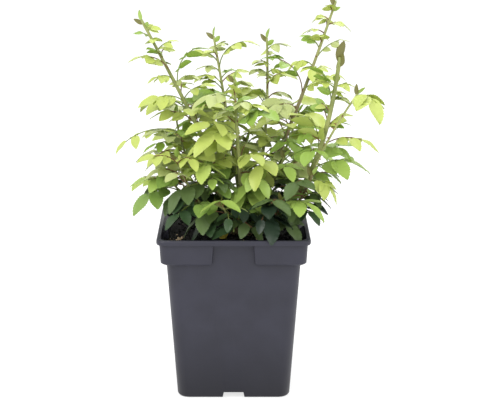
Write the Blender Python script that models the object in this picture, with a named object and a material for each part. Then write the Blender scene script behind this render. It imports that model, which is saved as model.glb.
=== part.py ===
"""A bush rose in a square nursery pot, before bloom.

The origin is the middle of the pot's flat underside, +Z is up and the front of the pot faces -Y.
Lengths are metres. Where a name ends in _MM, or a table says so, they are millimetres.
Headings are degrees seen from above: 0 is right (+X), 90 is back (+Y), 180 left and 270 front.
"""

import math
import random
from collections import namedtuple

import bmesh
import bpy
from mathutils import Vector
from mathutils.bvhtree import BVHTree

MM = 0.001
UP = Vector((0, 0, 1))

# Clearance between pieces that touch on the real plant
GAP = 0.0003

# Edges sharper than this, in degrees, stay hard where the rest is shaded smooth
POT_CREASE = 35
BARK_CREASE = 50

# Pot: a square container with a lip, a deep collar and a flush panel in the middle of each side
POT_HEIGHT = 0.219
RIM_HALF = 0.095
LIP_HEIGHT = 0.006
LIP_ROUND = 0.0015
COLLAR_HEIGHT = 0.033
COLLAR_TOP_HALF = 0.0920
COLLAR_FOOT_HALF = 0.0903
COLLAR_FOOT_ROUND = 0.0018
BODY_TOP_HALF = 0.0838
BASE_HALF = 0.0722
BASE_ROUND = 0.0035
ROUND_START = 0.3
ROUND_END = 0.7
POT_WALL = 0.0018
POT_FLOOR = 0.003
RIM_CORNER = 0.010
BODY_CORNER = 0.014
CORNER_STEPS = 3
PANEL_TOP_HALF = 0.0243
PANEL_FOOT_HALF = 0.0268
PANEL_STEP_WIDTH = 0.0003

# Feet: a low tunnel runs in from the middle of each side, under its own roof inside the pot
TUNNEL_FOOT_WIDTH = 0.0296
TUNNEL_TOP_WIDTH = 0.0252
TUNNEL_HEIGHT = 0.0083
TUNNEL_DEPTH = 0.030
TUNNEL_WALL = 0.0018
DRAIN_RADIUS = 0.005
DRAIN_PLACE = 0.052
DRAIN_SIDES = 12

# Potting soil
SOIL_TOP = 0.201
SOIL_GAP = 0.0005
SOIL_ROUGHNESS = 0.0012
SOIL_PLAIN_HALF = 0.078
SOIL_RING_SHARES = (1.0, 0.76, 0.53, 0.36)

# Bud union: the short swollen stem that all shoots rise from, as (height, radius) in millimetres
UNION_CENTRE = Vector((0.014, 0.004, 0))
UNION_PROFILE_MM = ((0, 19), (3, 16.5), (7, 14.5), (12, 14), (18, 15.5), (24, 15.5), (29, 12.5), (32, 7))
UNION_SIDES = 12
UNION_LEAN = 0.06
ROOT_FLARES = 5
ROOT_FLARE_DEPTH = 0.0028
ROOT_FLARE_HEIGHT = 0.012
UNION_LUMP = 0.0007

# Shoots: each rises from the union past an elbow to its tip
BOUGH_SIDES = 6
STEM_SIDES = 5
TWIG_SIDES = 3
BOUGH_STEPS = 4
STEM_STEPS = 5
FOOT_DEPTH = 0.009
SIDE_SHOOT_CLEARANCE = 0.0004

# Leaves: a stalk that arches down, with pairs of leaflets and one at its end
STALK_STEPS = 3
STALK_RADIUS = 0.0012
STALK_END_RADIUS = 0.0011
LEAFLET_THICKNESS = 0.0009
LEAFLET_WIDEST = 0.44
LEAFLET_WIDTH_SHARE = 0.58
LEAFLET_FOLD = 0.22
LEAFLET_CURL = 0.14
LEAFLET_SINK = 0.0005
END_LEAFLET_SINK = 0.0009
PAIR_STAGGER = 0.0017
PAIR_PLACES = {3: (0.72,), 5: (0.48, 0.78)}
PAIR_ANGLE = 62
PAIR_SIZES = (0.84, 0.96)
LEAF_CLEARANCE = 0.0004

# How far a leaflet may stray from its place: least and most, in degrees or as shares of its length
PAIR_TURN = (-8, 8)
PAIR_DROOP = (2, 28)
PAIR_ROLL = (-22, 10)
PAIR_LENGTH = (0.93, 1.05)
END_TURN = (-14, 14)
END_DROOP = (2, 20)
END_ROLL = (-15, 15)

# Buds: small folded leaflets round each tip, each a little lower and more open than the last
BUD_LENGTH = 15
BUD_SPREAD = 13
BUD_SPACING = 0.014
BUD_NARROWNESS = 0.62
BUD_FIRST = 0.6
BUD_SIZES = (0.85, 1.15)
BUD_ROLL = (-30, 30)
TIP_RUN = 0.04

# The rule: leaves go round each shoot, rise more and arch less the higher they stand
ANGLE_BETWEEN_LEAVES = 137.5
LEAF_TRIES = 8
FEWEST_LEAFLETS = 2
LIFT_HEIGHT = 0.16
LOW_RISE = 38
HIGH_RISE = 54
LOW_BEND = 74
HIGH_BEND = 50
LOW_LEAFLET_SHARE = 0.80
HIGH_LEAFLET_SHARE = 0.70
RULE_LEAFLETS = (3, 5)
RULE_PLACE = (0.2, 0.8)
RULE_RISE = (-8, 14)
RULE_LENGTH = (0.85, 1.2)
RULE_BEND = (-14, 14)
RULE_SIZE = (0.92, 1.08)
SIDESTEPS = (0, 8, -8, 16, -16, 24, -24)

# Each shoot: elbow and tip are points in millimetres, foot_height is how far up the union it starts
# and the radii are in millimetres. Its first stretch, up to the share bare of its length, is a bough.
# The rest is the stem of a mass of leaves that keeps within reach of it. Leaves by the rule stand
# between the shares first and last.
Shoot = namedtuple(
    "Shoot", "name foot_height elbow tip foot_radius tip_radius bare reach leaves first last stalk buds young"
)
SHOOTS = (
    Shoot("left", 25, (-30, 0, 315), (-114, 0, 476), 3.5, 1.7, 0.42, 95, 3, 0.44, 0.62, 48, 4, True),
    Shoot("inner_left", 27, (-4, 45, 325), (-26, 70, 446), 2.8, 1.3, 0.40, 90, 3, 0.43, 0.70, 46, 4, True),
    Shoot("front", 23, (6, -38, 300), (1, -50, 410), 3.3, 1.5, 0.22, 90, 4, 0.30, 0.74, 46, 4, True),
    Shoot("centre", 22, (50, 65, 285), (44, 100, 439), 2.9, 1.4, 0.40, 90, 4, 0.43, 0.72, 48, 4, True),
    Shoot("tall_right", 26, (66, 28, 302), (131, 60, 492), 3.6, 1.5, 0.38, 95, 3, 0.41, 0.60, 50, 4, True),
    Shoot("thick_right", 14, (108, -28, 228), (128, -50, 438), 4.6, 2.3, 0.48, 95, 2, 0.5, 0.68, 46, 4, True),
    Shoot("middle_left", 15, (-62, 8, 262), (-74, 18, 352), 2.6, 1.1, 0.35, 100, 4, 0.40, 0.97, 46, 2, True),
    Shoot("middle_front", 18, (-22, -28, 258), (-34, -36, 300), 2.3, 1.1, 0.35, 75, 4, 0.42, 0.97, 44, 2, False),
    Shoot("middle_right", 17, (46, -12, 258), (64, -16, 305), 2.3, 1.1, 0.35, 75, 4, 0.42, 0.97, 46, 2, False),
    Shoot("back_left", 12, (-20, 70, 270), (-62, 92, 345), 2.5, 1.1, 0.35, 85, 4, 0.40, 0.97, 50, 2, True),
    Shoot("back_right", 10, (60, 55, 262), (88, 95, 342), 2.5, 1.1, 0.35, 85, 4, 0.40, 0.97, 50, 2, True),
    Shoot("low_front_left", 8, (-52, -34, 238), (-70, -46, 312), 2.1, 1.0, 0.34, 75, 3, 0.36, 0.97, 44, 2, True),
    Shoot("low_left", 6, (-52, 0, 230), (-80, -8, 272), 2.1, 1.0, 0.34, 70, 5, 0.36, 0.97, 44, 2, False),
    Shoot("low_front", 6, (-4, -46, 226), (-14, -62, 256), 2.0, 0.9, 0.34, 65, 6, 0.36, 0.97, 42, 2, False),
    Shoot("low_front_right", 7, (45, -42, 226), (60, -60, 262), 2.0, 0.9, 0.34, 65, 6, 0.36, 0.97, 42, 2, False),
    Shoot("low_right", 5, (80, -28, 226), (98, -40, 288), 2.1, 1.2, 0.70, 60, 3, 0.78, 0.97, 38, 2, False),
    Shoot("low_back", 8, (15, 60, 240), (18, 98, 300), 2.2, 1.0, 0.34, 75, 5, 0.38, 0.97, 46, 2, False),
)

# The side shoot of the thick right one leaves it at a fork and is all stem, with no bough
SIDE_SHOOT = Shoot(
    "side_right", 0, (117, -52, 345), (150, -56, 394), 1.6, 1.2, 0.0, 80, 0, 0.3, 0.9, 40, 2, True
)
SIDE_SHOOT_PARENT = "thick_right"
SIDE_SHOOT_FORK = 0.50
SIDE_SHOOT_HEADING = 292

# The leaves that stand out of the crown, each where it grows: share is along its shoot, rise is the
# angle at which its stalk starts, bend is how far the stalk arches down, lengths are in millimetres
Leaf = namedtuple("Leaf", "shoot share heading rise length bend leaflets leaflet")
STANDING_LEAVES = (
    Leaf("left", 0.93, 150, 35, 16, 30, 3, 12),
    Leaf("left", 0.88, 15, 55, 18, 40, 3, 14),
    Leaf("left", 0.77, 200, 76, 46, 75, 5, 24),
    Leaf("left", 0.70, 330, 112, 64, 85, 5, 22),
    Leaf("left", 0.65, 208, 45, 40, 60, 5, 28),
    Leaf("left", 0.54, 160, 54, 44, 60, 5, 24),
    Leaf("inner_left", 0.82, 350, 93, 54, 85, 5, 22),
    Leaf("inner_left", 0.86, 160, 58, 30, 60, 5, 19),
    Leaf("inner_left", 0.74, 226, 54, 34, 50, 5, 22),
    Leaf("front", 0.88, 204, 42, 38, 60, 5, 26),
    Leaf("front", 0.82, 329, 52, 26, 60, 5, 24),
    Leaf("front", 0.71, 337, 66, 42, 60, 5, 32),
    Leaf("front", 0.62, 225, 60, 48, 80, 5, 38),
    Leaf("front", 0.38, 306, 30, 44, 60, 5, 25),
    Leaf("front", 0.28, 229, 28, 46, 50, 5, 25),
    Leaf("centre", 0.95, 341, 56, 18, 50, 3, 20),
    Leaf("centre", 0.86, 240, 71, 26, 60, 5, 18),
    Leaf("centre", 0.76, 330, 98, 36, 90, 5, 26),
    Leaf("tall_right", 0.89, 205, 40, 20, 40, 3, 16),
    Leaf("tall_right", 0.92, 10, 30, 16, 40, 3, 20),
    Leaf("tall_right", 0.79, 9, 65, 42, 50, 5, 15),
    Leaf("tall_right", 0.65, 196, 97, 64, 80, 5, 24),
    Leaf("tall_right", 0.43, 270, 50, 50, 90, 5, 30),
    Leaf("thick_right", 0.90, 215, 50, 24, 45, 3, 18),
    Leaf("thick_right", 0.82, 207, 100, 52, 50, 5, 22),
    Leaf("thick_right", 0.62, 222, 114, 62, 80, 5, 31),
    Leaf("thick_right", 0.67, 355, 48, 56, 70, 5, 26),
    Leaf("thick_right", 0.56, 281, 42, 38, 60, 5, 30),
    Leaf("side_right", 0.97, 340, 30, 24, 60, 5, 34),
    Leaf("middle_left", 0.88, 192, 22, 72, 60, 5, 21),
    Leaf("middle_left", 0.70, 225, 40, 48, 60, 5, 24),
    Leaf("low_front_left", 0.93, 205, 55, 38, 60, 5, 23),
    Leaf("low_front_left", 0.75, 250, 60, 42, 60, 5, 22),
    Leaf("low_front_left", 0.63, 190, 50, 62, 60, 5, 25),
    Leaf("low_front_left", 0.48, 233, 22, 48, 50, 5, 26),
    Leaf("low_front", 0.60, 308, 14, 40, 40, 5, 25),
    Leaf("low_right", 0.95, 345, 12, 24, 55, 5, 26),
)


# Shared building functions

def clear_scene():
    for obj in list(bpy.data.objects):
        bpy.data.objects.remove(obj, do_unlink=True)


def new_collection(name):
    collection = bpy.data.collections.new(name)
    bpy.context.scene.collection.children.link(collection)
    return collection


def new_material(name, colour, roughness, metallic=0.0):
    material = bpy.data.materials.new(name)
    material.use_nodes = True
    shader = material.node_tree.nodes["Principled BSDF"]
    shader.inputs["Base Color"].default_value = (*colour, 1.0)
    shader.inputs["Roughness"].default_value = roughness
    shader.inputs["Metallic"].default_value = metallic
    material.diffuse_color = (*colour, 1.0)
    return material


def loft(rings):
    """A closed mesh through rings of equal point counts, with a flat cap at each end."""
    shape = bmesh.new()
    rows = [[shape.verts.new(point) for point in ring] for ring in rings]
    count = len(rows[0])
    for low, high in zip(rows, rows[1:]):
        for k in range(count):
            after = (k + 1) % count
            shape.faces.new((low[k], low[after], high[after], high[k]))
    shape.faces.new(reversed(rows[0]))
    shape.faces.new(rows[-1])
    bmesh.ops.recalc_face_normals(shape, faces=shape.faces)
    return shape


def make_object(name, shape, collection, material=None):
    """A mesh object from a bmesh, which is used up."""
    mesh = bpy.data.meshes.new(name)
    shape.to_mesh(mesh)
    shape.free()
    if material:
        mesh.materials.append(material)
    obj = bpy.data.objects.new(name, mesh)
    collection.objects.link(obj)
    return obj


def make_cutter(name, shape, collection):
    cutter = make_object(name, shape, collection)
    cutter.hide_render = True
    cutter.display_type = "WIRE"
    return cutter


def boolean(obj, operation, other):
    modifier = obj.modifiers.new(f"{operation.lower()} {other.name}", "BOOLEAN")
    modifier.operation = operation
    modifier.object = other
    modifier.solver = "EXACT"


def soften(obj, angle):
    obj.data.shade_smooth()
    obj.data.set_sharp_from_angle(angle=math.radians(angle))


# Pot and soil

def mix(low, high, share):
    return low + (high - low) * share


def body_half(z):
    """Half width of the pot's body at a height; the side panels follow it up through the collar."""
    return mix(BASE_HALF, BODY_TOP_HALF, z / (POT_HEIGHT - COLLAR_HEIGHT))


def collar_half(z):
    return mix(COLLAR_FOOT_HALF, COLLAR_TOP_HALF, (z - (POT_HEIGHT - COLLAR_HEIGHT)) / COLLAR_HEIGHT)


def panel_half(z):
    return mix(PANEL_FOOT_HALF, PANEL_TOP_HALF, (z - (POT_HEIGHT - COLLAR_HEIGHT)) / COLLAR_HEIGHT)


def pot_ring(z, half, corner, panel, recess=0.0):
    """A rounded square, anticlockwise, whose middle stretch on each side may step in by recess."""
    ring = []
    for side in range(4):
        turn = math.radians(90 * side)
        out = Vector((math.cos(turn), math.sin(turn), 0))
        across = Vector((-math.sin(turn), math.cos(turn), 0))
        for place, depth in (
            (-panel - PANEL_STEP_WIDTH, 0.0),
            (-panel + PANEL_STEP_WIDTH, recess),
            (panel - PANEL_STEP_WIDTH, recess),
            (panel + PANEL_STEP_WIDTH, 0.0),
        ):
            ring.append(out * (half - depth) + across * place + UP * z)
        centre = (out + across) * (half - corner) + UP * z
        for step in range(CORNER_STEPS + 1):
            angle = math.radians(90 * step / CORNER_STEPS)
            ring.append(centre + (out * math.cos(angle) + across * math.sin(angle)) * corner)
    return ring


def collar_ring(z, inset=0.0):
    """A ring of the collar, with the side panels flush with the body below."""
    half = collar_half(z)
    return pot_ring(z, half - inset, RIM_CORNER, panel_half(z) + inset, half - body_half(z))


def body_ring(z, inset=0.0):
    return pot_ring(z, body_half(z) - inset, BODY_CORNER, PANEL_FOOT_HALF + inset)


def outer_rings():
    ledge = POT_HEIGHT - COLLAR_HEIGHT
    lip_foot = POT_HEIGHT - LIP_HEIGHT
    lip_panel = PANEL_TOP_HALF
    foot_step = BASE_ROUND * ROUND_START
    return [
        pot_ring(0, BASE_HALF - BASE_ROUND, BODY_CORNER - BASE_ROUND, PANEL_FOOT_HALF),
        pot_ring(foot_step, BASE_HALF - foot_step, BODY_CORNER, PANEL_FOOT_HALF),
        body_ring(BASE_ROUND),
        body_ring(ledge - PANEL_STEP_WIDTH),
        pot_ring(
            ledge,
            COLLAR_FOOT_HALF - COLLAR_FOOT_ROUND,
            RIM_CORNER,
            PANEL_FOOT_HALF,
            COLLAR_FOOT_HALF - COLLAR_FOOT_ROUND - body_half(ledge),
        ),
        collar_ring(ledge + COLLAR_FOOT_ROUND),
        collar_ring(lip_foot - PANEL_STEP_WIDTH),
        pot_ring(lip_foot, RIM_HALF - LIP_ROUND * ROUND_START, RIM_CORNER, lip_panel),
        pot_ring(lip_foot + LIP_ROUND, RIM_HALF, RIM_CORNER, lip_panel),
        pot_ring(POT_HEIGHT - LIP_ROUND, RIM_HALF, RIM_CORNER, lip_panel),
        pot_ring(POT_HEIGHT, RIM_HALF - LIP_ROUND * ROUND_END, RIM_CORNER, lip_panel),
    ]


def inner_rings(extra, bottom):
    """The rings inside the pot, up to the soil's top, a wall's thickness and extra in from the outside."""
    inset = POT_WALL + extra
    ledge = POT_HEIGHT - COLLAR_HEIGHT + inset
    return [
        body_ring(bottom, inset),
        body_ring(ledge - PANEL_STEP_WIDTH, inset),
        collar_ring(ledge + COLLAR_FOOT_ROUND, inset),
        collar_ring(SOIL_TOP, inset),
    ]


def tunnel_shape(grow, length):
    """A trapezium bar that runs in along -Y from the wall at +Y, its foot under the pot's underside."""
    shape = bmesh.new()
    bmesh.ops.create_cube(shape, size=1.0)
    far = BASE_HALF - length - grow
    near = BASE_HALF - POT_WALL / 2 if grow else BASE_HALF + BASE_ROUND
    for vert in shape.verts:
        upper = vert.co.z > 0
        width = (TUNNEL_TOP_WIDTH if upper else TUNNEL_FOOT_WIDTH) / 2 + grow
        vert.co.x = math.copysign(width, vert.co.x)
        vert.co.y = near if vert.co.y > 0 else far
        vert.co.z = TUNNEL_HEIGHT + grow if upper else (POT_FLOOR / 2 if grow else -POT_FLOOR)
    return shape


def add_around(name, shape_maker, collection, obj, operation):
    """Four helpers round the pot, a quarter turn apart, each joined to obj or cut from it."""
    for side in range(4):
        helper = make_cutter(f"{name}_{side + 1}", shape_maker(), collection)
        helper.rotation_euler.z = math.radians(90 * side)
        boolean(obj, operation, helper)


def drain_shape():
    shape = bmesh.new()
    bmesh.ops.create_cone(
        shape,
        cap_ends=True,
        segments=DRAIN_SIDES,
        radius1=DRAIN_RADIUS,
        radius2=DRAIN_RADIUS,
        depth=POT_FLOOR * 4,
    )
    bmesh.ops.translate(shape, verts=shape.verts, vec=Vector((DRAIN_PLACE, DRAIN_PLACE, POT_FLOOR / 2)))
    return shape


def make_pot(parts, cutters, material):
    inside = inner_rings(0.0, POT_FLOOR) + [collar_ring(POT_HEIGHT - LIP_HEIGHT, POT_WALL)]
    mouth = pot_ring(POT_HEIGHT, collar_half(POT_HEIGHT) - POT_WALL, RIM_CORNER, PANEL_TOP_HALF)
    pot = make_object("pot", loft(outer_rings() + [mouth] + inside[::-1]), parts, material)
    add_around("tunnel_roof", lambda: tunnel_shape(TUNNEL_WALL, TUNNEL_DEPTH), cutters, pot, "UNION")
    add_around("tunnel", lambda: tunnel_shape(0.0, TUNNEL_DEPTH), cutters, pot, "DIFFERENCE")
    add_around("drain", drain_shape, cutters, pot, "DIFFERENCE")
    soften(pot, POT_CREASE)
    return pot


def make_soil(parts, cutters, material):
    """Fills the pot, clear of its walls and tunnels, with an uneven top that is flat under the union."""
    chance = random.Random("soil")
    rings = inner_rings(SOIL_GAP, POT_FLOOR + SOIL_GAP)
    plain = pot_ring(SOIL_TOP, SOIL_PLAIN_HALF, BODY_CORNER, panel_half(SOIL_TOP) + POT_WALL + SOIL_GAP)
    centre = Vector((UNION_CENTRE.x, UNION_CENTRE.y, SOIL_TOP))
    for share in SOIL_RING_SHARES:
        ring = [centre.lerp(point, share) for point in plain]
        if share != SOIL_RING_SHARES[-1]:
            for point in ring:
                point.z += chance.uniform(-SOIL_ROUGHNESS, SOIL_ROUGHNESS)
        rings.append(ring)
    soil = make_object("potting_soil", loft(rings), parts, material)
    add_around(
        "soil_recess", lambda: tunnel_shape(TUNNEL_WALL + SOIL_GAP, TUNNEL_DEPTH), cutters, soil, "DIFFERENCE"
    )
    return soil


# Bud union and shoots

def union_shape(grow=0.0):
    """The bud union with its root flare, flat at the foot; grow makes it larger on every side."""
    chance = random.Random("union")
    rings = []
    for height, radius in UNION_PROFILE_MM:
        height *= MM
        flare = max(0.0, 1 - height / ROOT_FLARE_HEIGHT) * ROOT_FLARE_DEPTH
        centre = UNION_CENTRE + UP * (SOIL_TOP + GAP + height) + Vector((UNION_LEAN * height, 0, 0))
        ring = []
        for k in range(UNION_SIDES):
            angle = 2 * math.pi * k / UNION_SIDES
            lump = chance.uniform(-UNION_LUMP, UNION_LUMP)
            size = radius * MM + flare * math.cos(ROOT_FLARES * angle) + lump + grow
            ring.append(centre + Vector((math.cos(angle), math.sin(angle), 0)) * size)
        rings.append(ring)
    if grow:
        rings[-1] = [point + UP * grow for point in rings[-1]]
    return loft(rings)


def shoot_foot(shoot):
    """Where a shoot's axis starts, inside the union, or beside its parent for the side shoot."""
    if shoot.name == SIDE_SHOOT.name:
        parent = next(s for s in SHOOTS if s.name == SIDE_SHOOT_PARENT)
        heading = math.radians(SIDE_SHOOT_HEADING)
        apart = (radius_at(parent, SIDE_SHOOT_FORK) + shoot.foot_radius * MM) + SIDE_SHOOT_CLEARANCE
        side = Vector((math.cos(heading), math.sin(heading), 0))
        return axis_point(parent, SIDE_SHOOT_FORK) + side * apart
    centre = UNION_CENTRE + UP * (SOIL_TOP + GAP + shoot.foot_height * MM)
    out = Vector(shoot.elbow) * MM - centre
    out.z = 0
    return centre + out.normalized() * FOOT_DEPTH


def axis_point(shoot, share):
    """A point on the shoot's axis, one smooth bend from its foot past its elbow to its tip."""
    foot = shoot_foot(shoot)
    elbow = Vector(shoot.elbow) * MM
    tip = Vector(shoot.tip) * MM
    return foot.lerp(elbow, share).lerp(elbow.lerp(tip, share), share)


def axis_run(shoot, share):
    """The direction of the shoot's axis at a share of its length."""
    foot = shoot_foot(shoot)
    elbow = Vector(shoot.elbow) * MM
    tip = Vector(shoot.tip) * MM
    return (elbow - foot).lerp(tip - elbow, share).normalized()


def radius_at(shoot, share):
    return mix(shoot.foot_radius, shoot.tip_radius, share) * MM


def tube(points, runs, radii, sides, ridge=None):
    """A closed, tapering tube through points, each ring square to its run, with a corner towards ridge."""
    across = ridge
    rings = []
    for point, along, radius in zip(points, runs, radii):
        if across is None:
            across = along.orthogonal()
        across = (across - along * across.dot(along)).normalized()
        beside = along.cross(across)
        ring = []
        for side in range(sides):
            angle = 2 * math.pi * side / sides
            ring.append(point + (across * math.cos(angle) + beside * math.sin(angle)) * radius)
        rings.append(ring)
    return loft(rings)


def limb_shape(shoot, start, end, steps, sides):
    shares = [mix(start, end, k / steps) for k in range(steps + 1)]
    points = [axis_point(shoot, share) for share in shares]
    runs = [axis_run(shoot, share) for share in shares]
    return tube(points, runs, [radius_at(shoot, share) for share in shares], sides)


def axis_length(shoot):
    points = [axis_point(shoot, k / STEM_STEPS) for k in range(STEM_STEPS + 1)]
    return sum((b - a).length for a, b in zip(points, points[1:]))


def stem_start(shoot):
    """The share at which the mass's stem starts, a gap past the tip of its bough."""
    return shoot.bare + GAP / axis_length(shoot) if shoot.bare else 0.0


# Leaves

Frame = namedtuple("Frame", "base along across normal length width")


def stalk_point(leaf, root, share):
    """The point and direction a share of the way along a leaf's stalk, which arches in one plane."""
    heading, rise, bend = (math.radians(angle) for angle in (leaf.heading, leaf.rise, leaf.bend))
    flat = Vector((math.cos(heading), math.sin(heading), 0))
    here = rise - bend * share
    out = (math.sin(rise) - math.sin(here)) / bend
    lift = (math.cos(here) - math.cos(rise)) / bend
    point = root + (flat * out + UP * lift) * leaf.length * MM
    return point, flat * math.cos(here) + UP * math.sin(here)


def stalk_axis(leaf, root, share):
    """The point on the straight runs between the stalk's rings, and the direction there."""
    run = min(int(share * STALK_STEPS), STALK_STEPS - 1)
    low, _ = stalk_point(leaf, root, run / STALK_STEPS)
    high, _ = stalk_point(leaf, root, (run + 1) / STALK_STEPS)
    _, along = stalk_point(leaf, root, share)
    return low.lerp(high, share * STALK_STEPS - run), along


def stalk_side(leaf):
    """The level direction to the left of a leaf's stalk."""
    heading = math.radians(leaf.heading)
    return Vector((-math.sin(heading), math.cos(heading), 0))


def stalk_normal(leaf, share):
    """Which way the upper side of the stalk faces, a share of the way along it."""
    here = math.radians(leaf.rise - leaf.bend * share)
    heading = math.radians(leaf.heading)
    flat = Vector((math.cos(heading), math.sin(heading), 0))
    return UP * math.cos(here) - flat * math.sin(here)


def leaflet_frame(point, along, side, turn, droop, roll, length, sink=LEAFLET_SINK):
    """A leaflet's place: turned from the stalk towards side, drooped and rolled, angles in degrees."""
    turn, droop, roll = (math.radians(angle) for angle in (turn, droop, roll))
    normal = along.cross(side)
    ahead = along * math.cos(turn) + side * math.sin(turn)
    run = ahead * math.cos(droop) - normal * math.sin(droop)
    face = normal * math.cos(droop) + ahead * math.sin(droop)
    across = face.cross(run)
    across, face = (
        across * math.cos(roll) + face * math.sin(roll),
        face * math.cos(roll) - across * math.sin(roll),
    )
    width = length * LEAFLET_WIDTH_SHARE * MM
    return Frame(point - run * sink, run, across, face, length * MM + sink, width)


def leaflet_frames(leaf, root, chance):
    """The frames of a leaf's leaflets, pairs first and the end leaflet last."""
    side = stalk_side(leaf)
    frames = []
    places = PAIR_PLACES[leaf.leaflets]
    for number, share in enumerate(places):
        point, along = stalk_axis(leaf, root, share)
        size = PAIR_SIZES[number + len(PAIR_SIZES) - len(places)]
        for hand in (1, -1):
            turn = hand * (PAIR_ANGLE + chance.uniform(*PAIR_TURN))
            droop = chance.uniform(*PAIR_DROOP)
            roll = hand * chance.uniform(*PAIR_ROLL)
            length = leaf.leaflet * size * chance.uniform(*PAIR_LENGTH)
            place = point + along * (hand * PAIR_STAGGER)
            frames.append(leaflet_frame(place, along, side, turn, droop, roll, length))
    point, along = stalk_point(leaf, root, 1.0)
    turn, droop, roll = (chance.uniform(*limits) for limits in (END_TURN, END_DROOP, END_ROLL))
    frames.append(leaflet_frame(point, along, side, turn, droop, roll, leaf.leaflet, END_LEAFLET_SINK))
    return frames


def bud_frames(shoot, chance):
    """The small folded leaflets round a shoot's tip."""
    tip = axis_point(shoot, 1.0)
    along = (tip - axis_point(shoot, 1.0 - TIP_RUN)).normalized()
    side = along.orthogonal().normalized()
    frames = []
    for number in range(shoot.buds):
        around = math.radians(ANGLE_BETWEEN_LEAVES * number)
        spoke = side * math.cos(around) + along.cross(side) * math.sin(around)
        turn = BUD_SPREAD * (number + BUD_FIRST)
        point = axis_point(shoot, 1.0 - BUD_SPACING * number)
        length = BUD_LENGTH * chance.uniform(*BUD_SIZES)
        roll = chance.uniform(*BUD_ROLL)
        frame = leaflet_frame(point, along, spoke, turn, 0, roll, length)
        frames.append(frame._replace(width=frame.width * BUD_NARROWNESS))
    return frames


def leaflet_shape(frame, margin=0.0):
    """An eight-sided blade: an octahedron drawn out, folded at the midrib and curled to its tip."""
    shape = bmesh.new()
    bmesh.ops.create_uvsphere(shape, u_segments=4, v_segments=2, radius=1.0)
    length = frame.length + margin
    half_width = frame.width / 2 + margin
    half_thickness = LEAFLET_THICKNESS / 2 + margin
    for vert in shape.verts:
        x, y, z = (round(value) for value in vert.co)
        ahead = {-1: -margin, 0: length * LEAFLET_WIDEST, 1: length}[x]
        lift = abs(y) * half_width * LEAFLET_FOLD - (ahead / length) ** 2 * length * LEAFLET_CURL
        vert.co = (
            frame.base
            + frame.along * ahead
            + frame.across * (y * half_width)
            + frame.normal * (lift + z * half_thickness)
        )
    bmesh.ops.recalc_face_normals(shape, faces=shape.faces)
    return shape


def stalk_shape(leaf, root, margin=0.0):
    shares = [k / STALK_STEPS for k in range(STALK_STEPS + 1)]
    points, runs = zip(*(stalk_point(leaf, root, share) for share in shares))
    radii = [mix(STALK_RADIUS, STALK_END_RADIUS, share) + margin for share in shares]
    return tube(points, runs, radii, TWIG_SIDES, stalk_normal(leaf, 0.0))


class Room:
    """What stands already, so that a new twig or leaflet can be tested against it."""

    def __init__(self):
        self.pieces = []

    def add(self, owner, shape):
        low, high = box_of(shape)
        self.pieces.append((owner, low, high, BVHTree.FromBMesh(shape)))

    def touches(self, shape, but):
        low, high = box_of(shape)
        tree = BVHTree.FromBMesh(shape)
        for owner, other_low, other_high, other in self.pieces:
            if owner == but:
                continue
            if any(high[k] < other_low[k] or low[k] > other_high[k] for k in range(3)):
                continue
            if tree.overlap(other):
                return True
        return False


def box_of(shape):
    columns = list(zip(*(vert.co for vert in shape.verts)))
    return [min(column) for column in columns], [max(column) for column in columns]


def beyond_reach(shoot, frame):
    tip = frame.base + frame.along * frame.length
    stem = [axis_point(shoot, mix(shoot.bare, 1.0, k / STEM_STEPS)) for k in range(STEM_STEPS + 1)]
    return min((tip - point).length for point in stem) > shoot.reach * MM


def fits(room, make_shape, but):
    """Whether a piece stands clear of all others but its own carrier, by the leaf clearance."""
    guard = make_shape(LEAF_CLEARANCE)
    clear = not room.touches(guard, but)
    guard.free()
    return clear


def try_leaf(room, shoot, leaf, chance):
    """The leaflets of a leaf that have room, or None where its stalk has none."""
    root = axis_point(shoot, leaf.share)
    if not fits(room, lambda margin: stalk_shape(leaf, root, margin), stem_name(shoot)):
        return None
    return [
        frame
        for frame in leaflet_frames(leaf, root, chance)
        if not beyond_reach(shoot, frame)
        and fits(room, lambda margin: leaflet_shape(frame, margin), None)
    ]


def stem_name(shoot):
    return f"{shoot.name} stem"


def grow_leaf(room, shoot, tries, pieces):
    """Grows the first of several tries that loses no leaflet, or else the one that keeps most."""
    best = None
    for number, leaf in enumerate(tries):
        chance = random.Random(f"{leaf.shoot} {leaf.share:.3f} {number}")
        frames = try_leaf(room, shoot, leaf, chance)
        if frames and (best is None or len(frames) > len(best[1])):
            best = (leaf, frames)
        if frames and len(frames) == leaf.leaflets:
            break
    if best is None or len(best[1]) < FEWEST_LEAFLETS:
        return
    leaf, frames = best
    root = axis_point(shoot, leaf.share)
    shapes = [stalk_shape(leaf, root)] + [leaflet_shape(frame) for frame in frames]
    for shape in shapes:
        room.add(f"{shoot.name} {leaf.share:.3f}", shape)
    pieces.extend(shapes)


def standing_tries(leaf):
    """A standing leaf keeps its heading, or turns a little where something is in its way."""
    return [leaf._replace(heading=leaf.heading + turn) for turn in SIDESTEPS]


def rule_tries(shoot, number):
    """The leaf that the rule puts at a place on the shoot, with other headings to try in turn."""
    chance = random.Random(f"{shoot.name} rule {number}")
    share = mix(shoot.first, shoot.last, (number + chance.uniform(*RULE_PLACE)) / shoot.leaves)
    lift = min(1.0, (axis_point(shoot, share).z - SOIL_TOP) / LIFT_HEIGHT)
    heading = ANGLE_BETWEEN_LEAVES * number + chance.uniform(0, 360)
    tries = []
    for attempt in range(LEAF_TRIES):
        tries.append(
            Leaf(
                shoot.name,
                share,
                heading + attempt * 360 / LEAF_TRIES,
                mix(LOW_RISE, HIGH_RISE, lift) + chance.uniform(*RULE_RISE),
                shoot.stalk * chance.uniform(*RULE_LENGTH),
                mix(LOW_BEND, HIGH_BEND, lift) + chance.uniform(*RULE_BEND),
                chance.choice(RULE_LEAFLETS),
                shoot.stalk * mix(LOW_LEAFLET_SHARE, HIGH_LEAFLET_SHARE, lift) * chance.uniform(*RULE_SIZE),
            )
        )
    return tries


# Joining each mass

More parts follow.
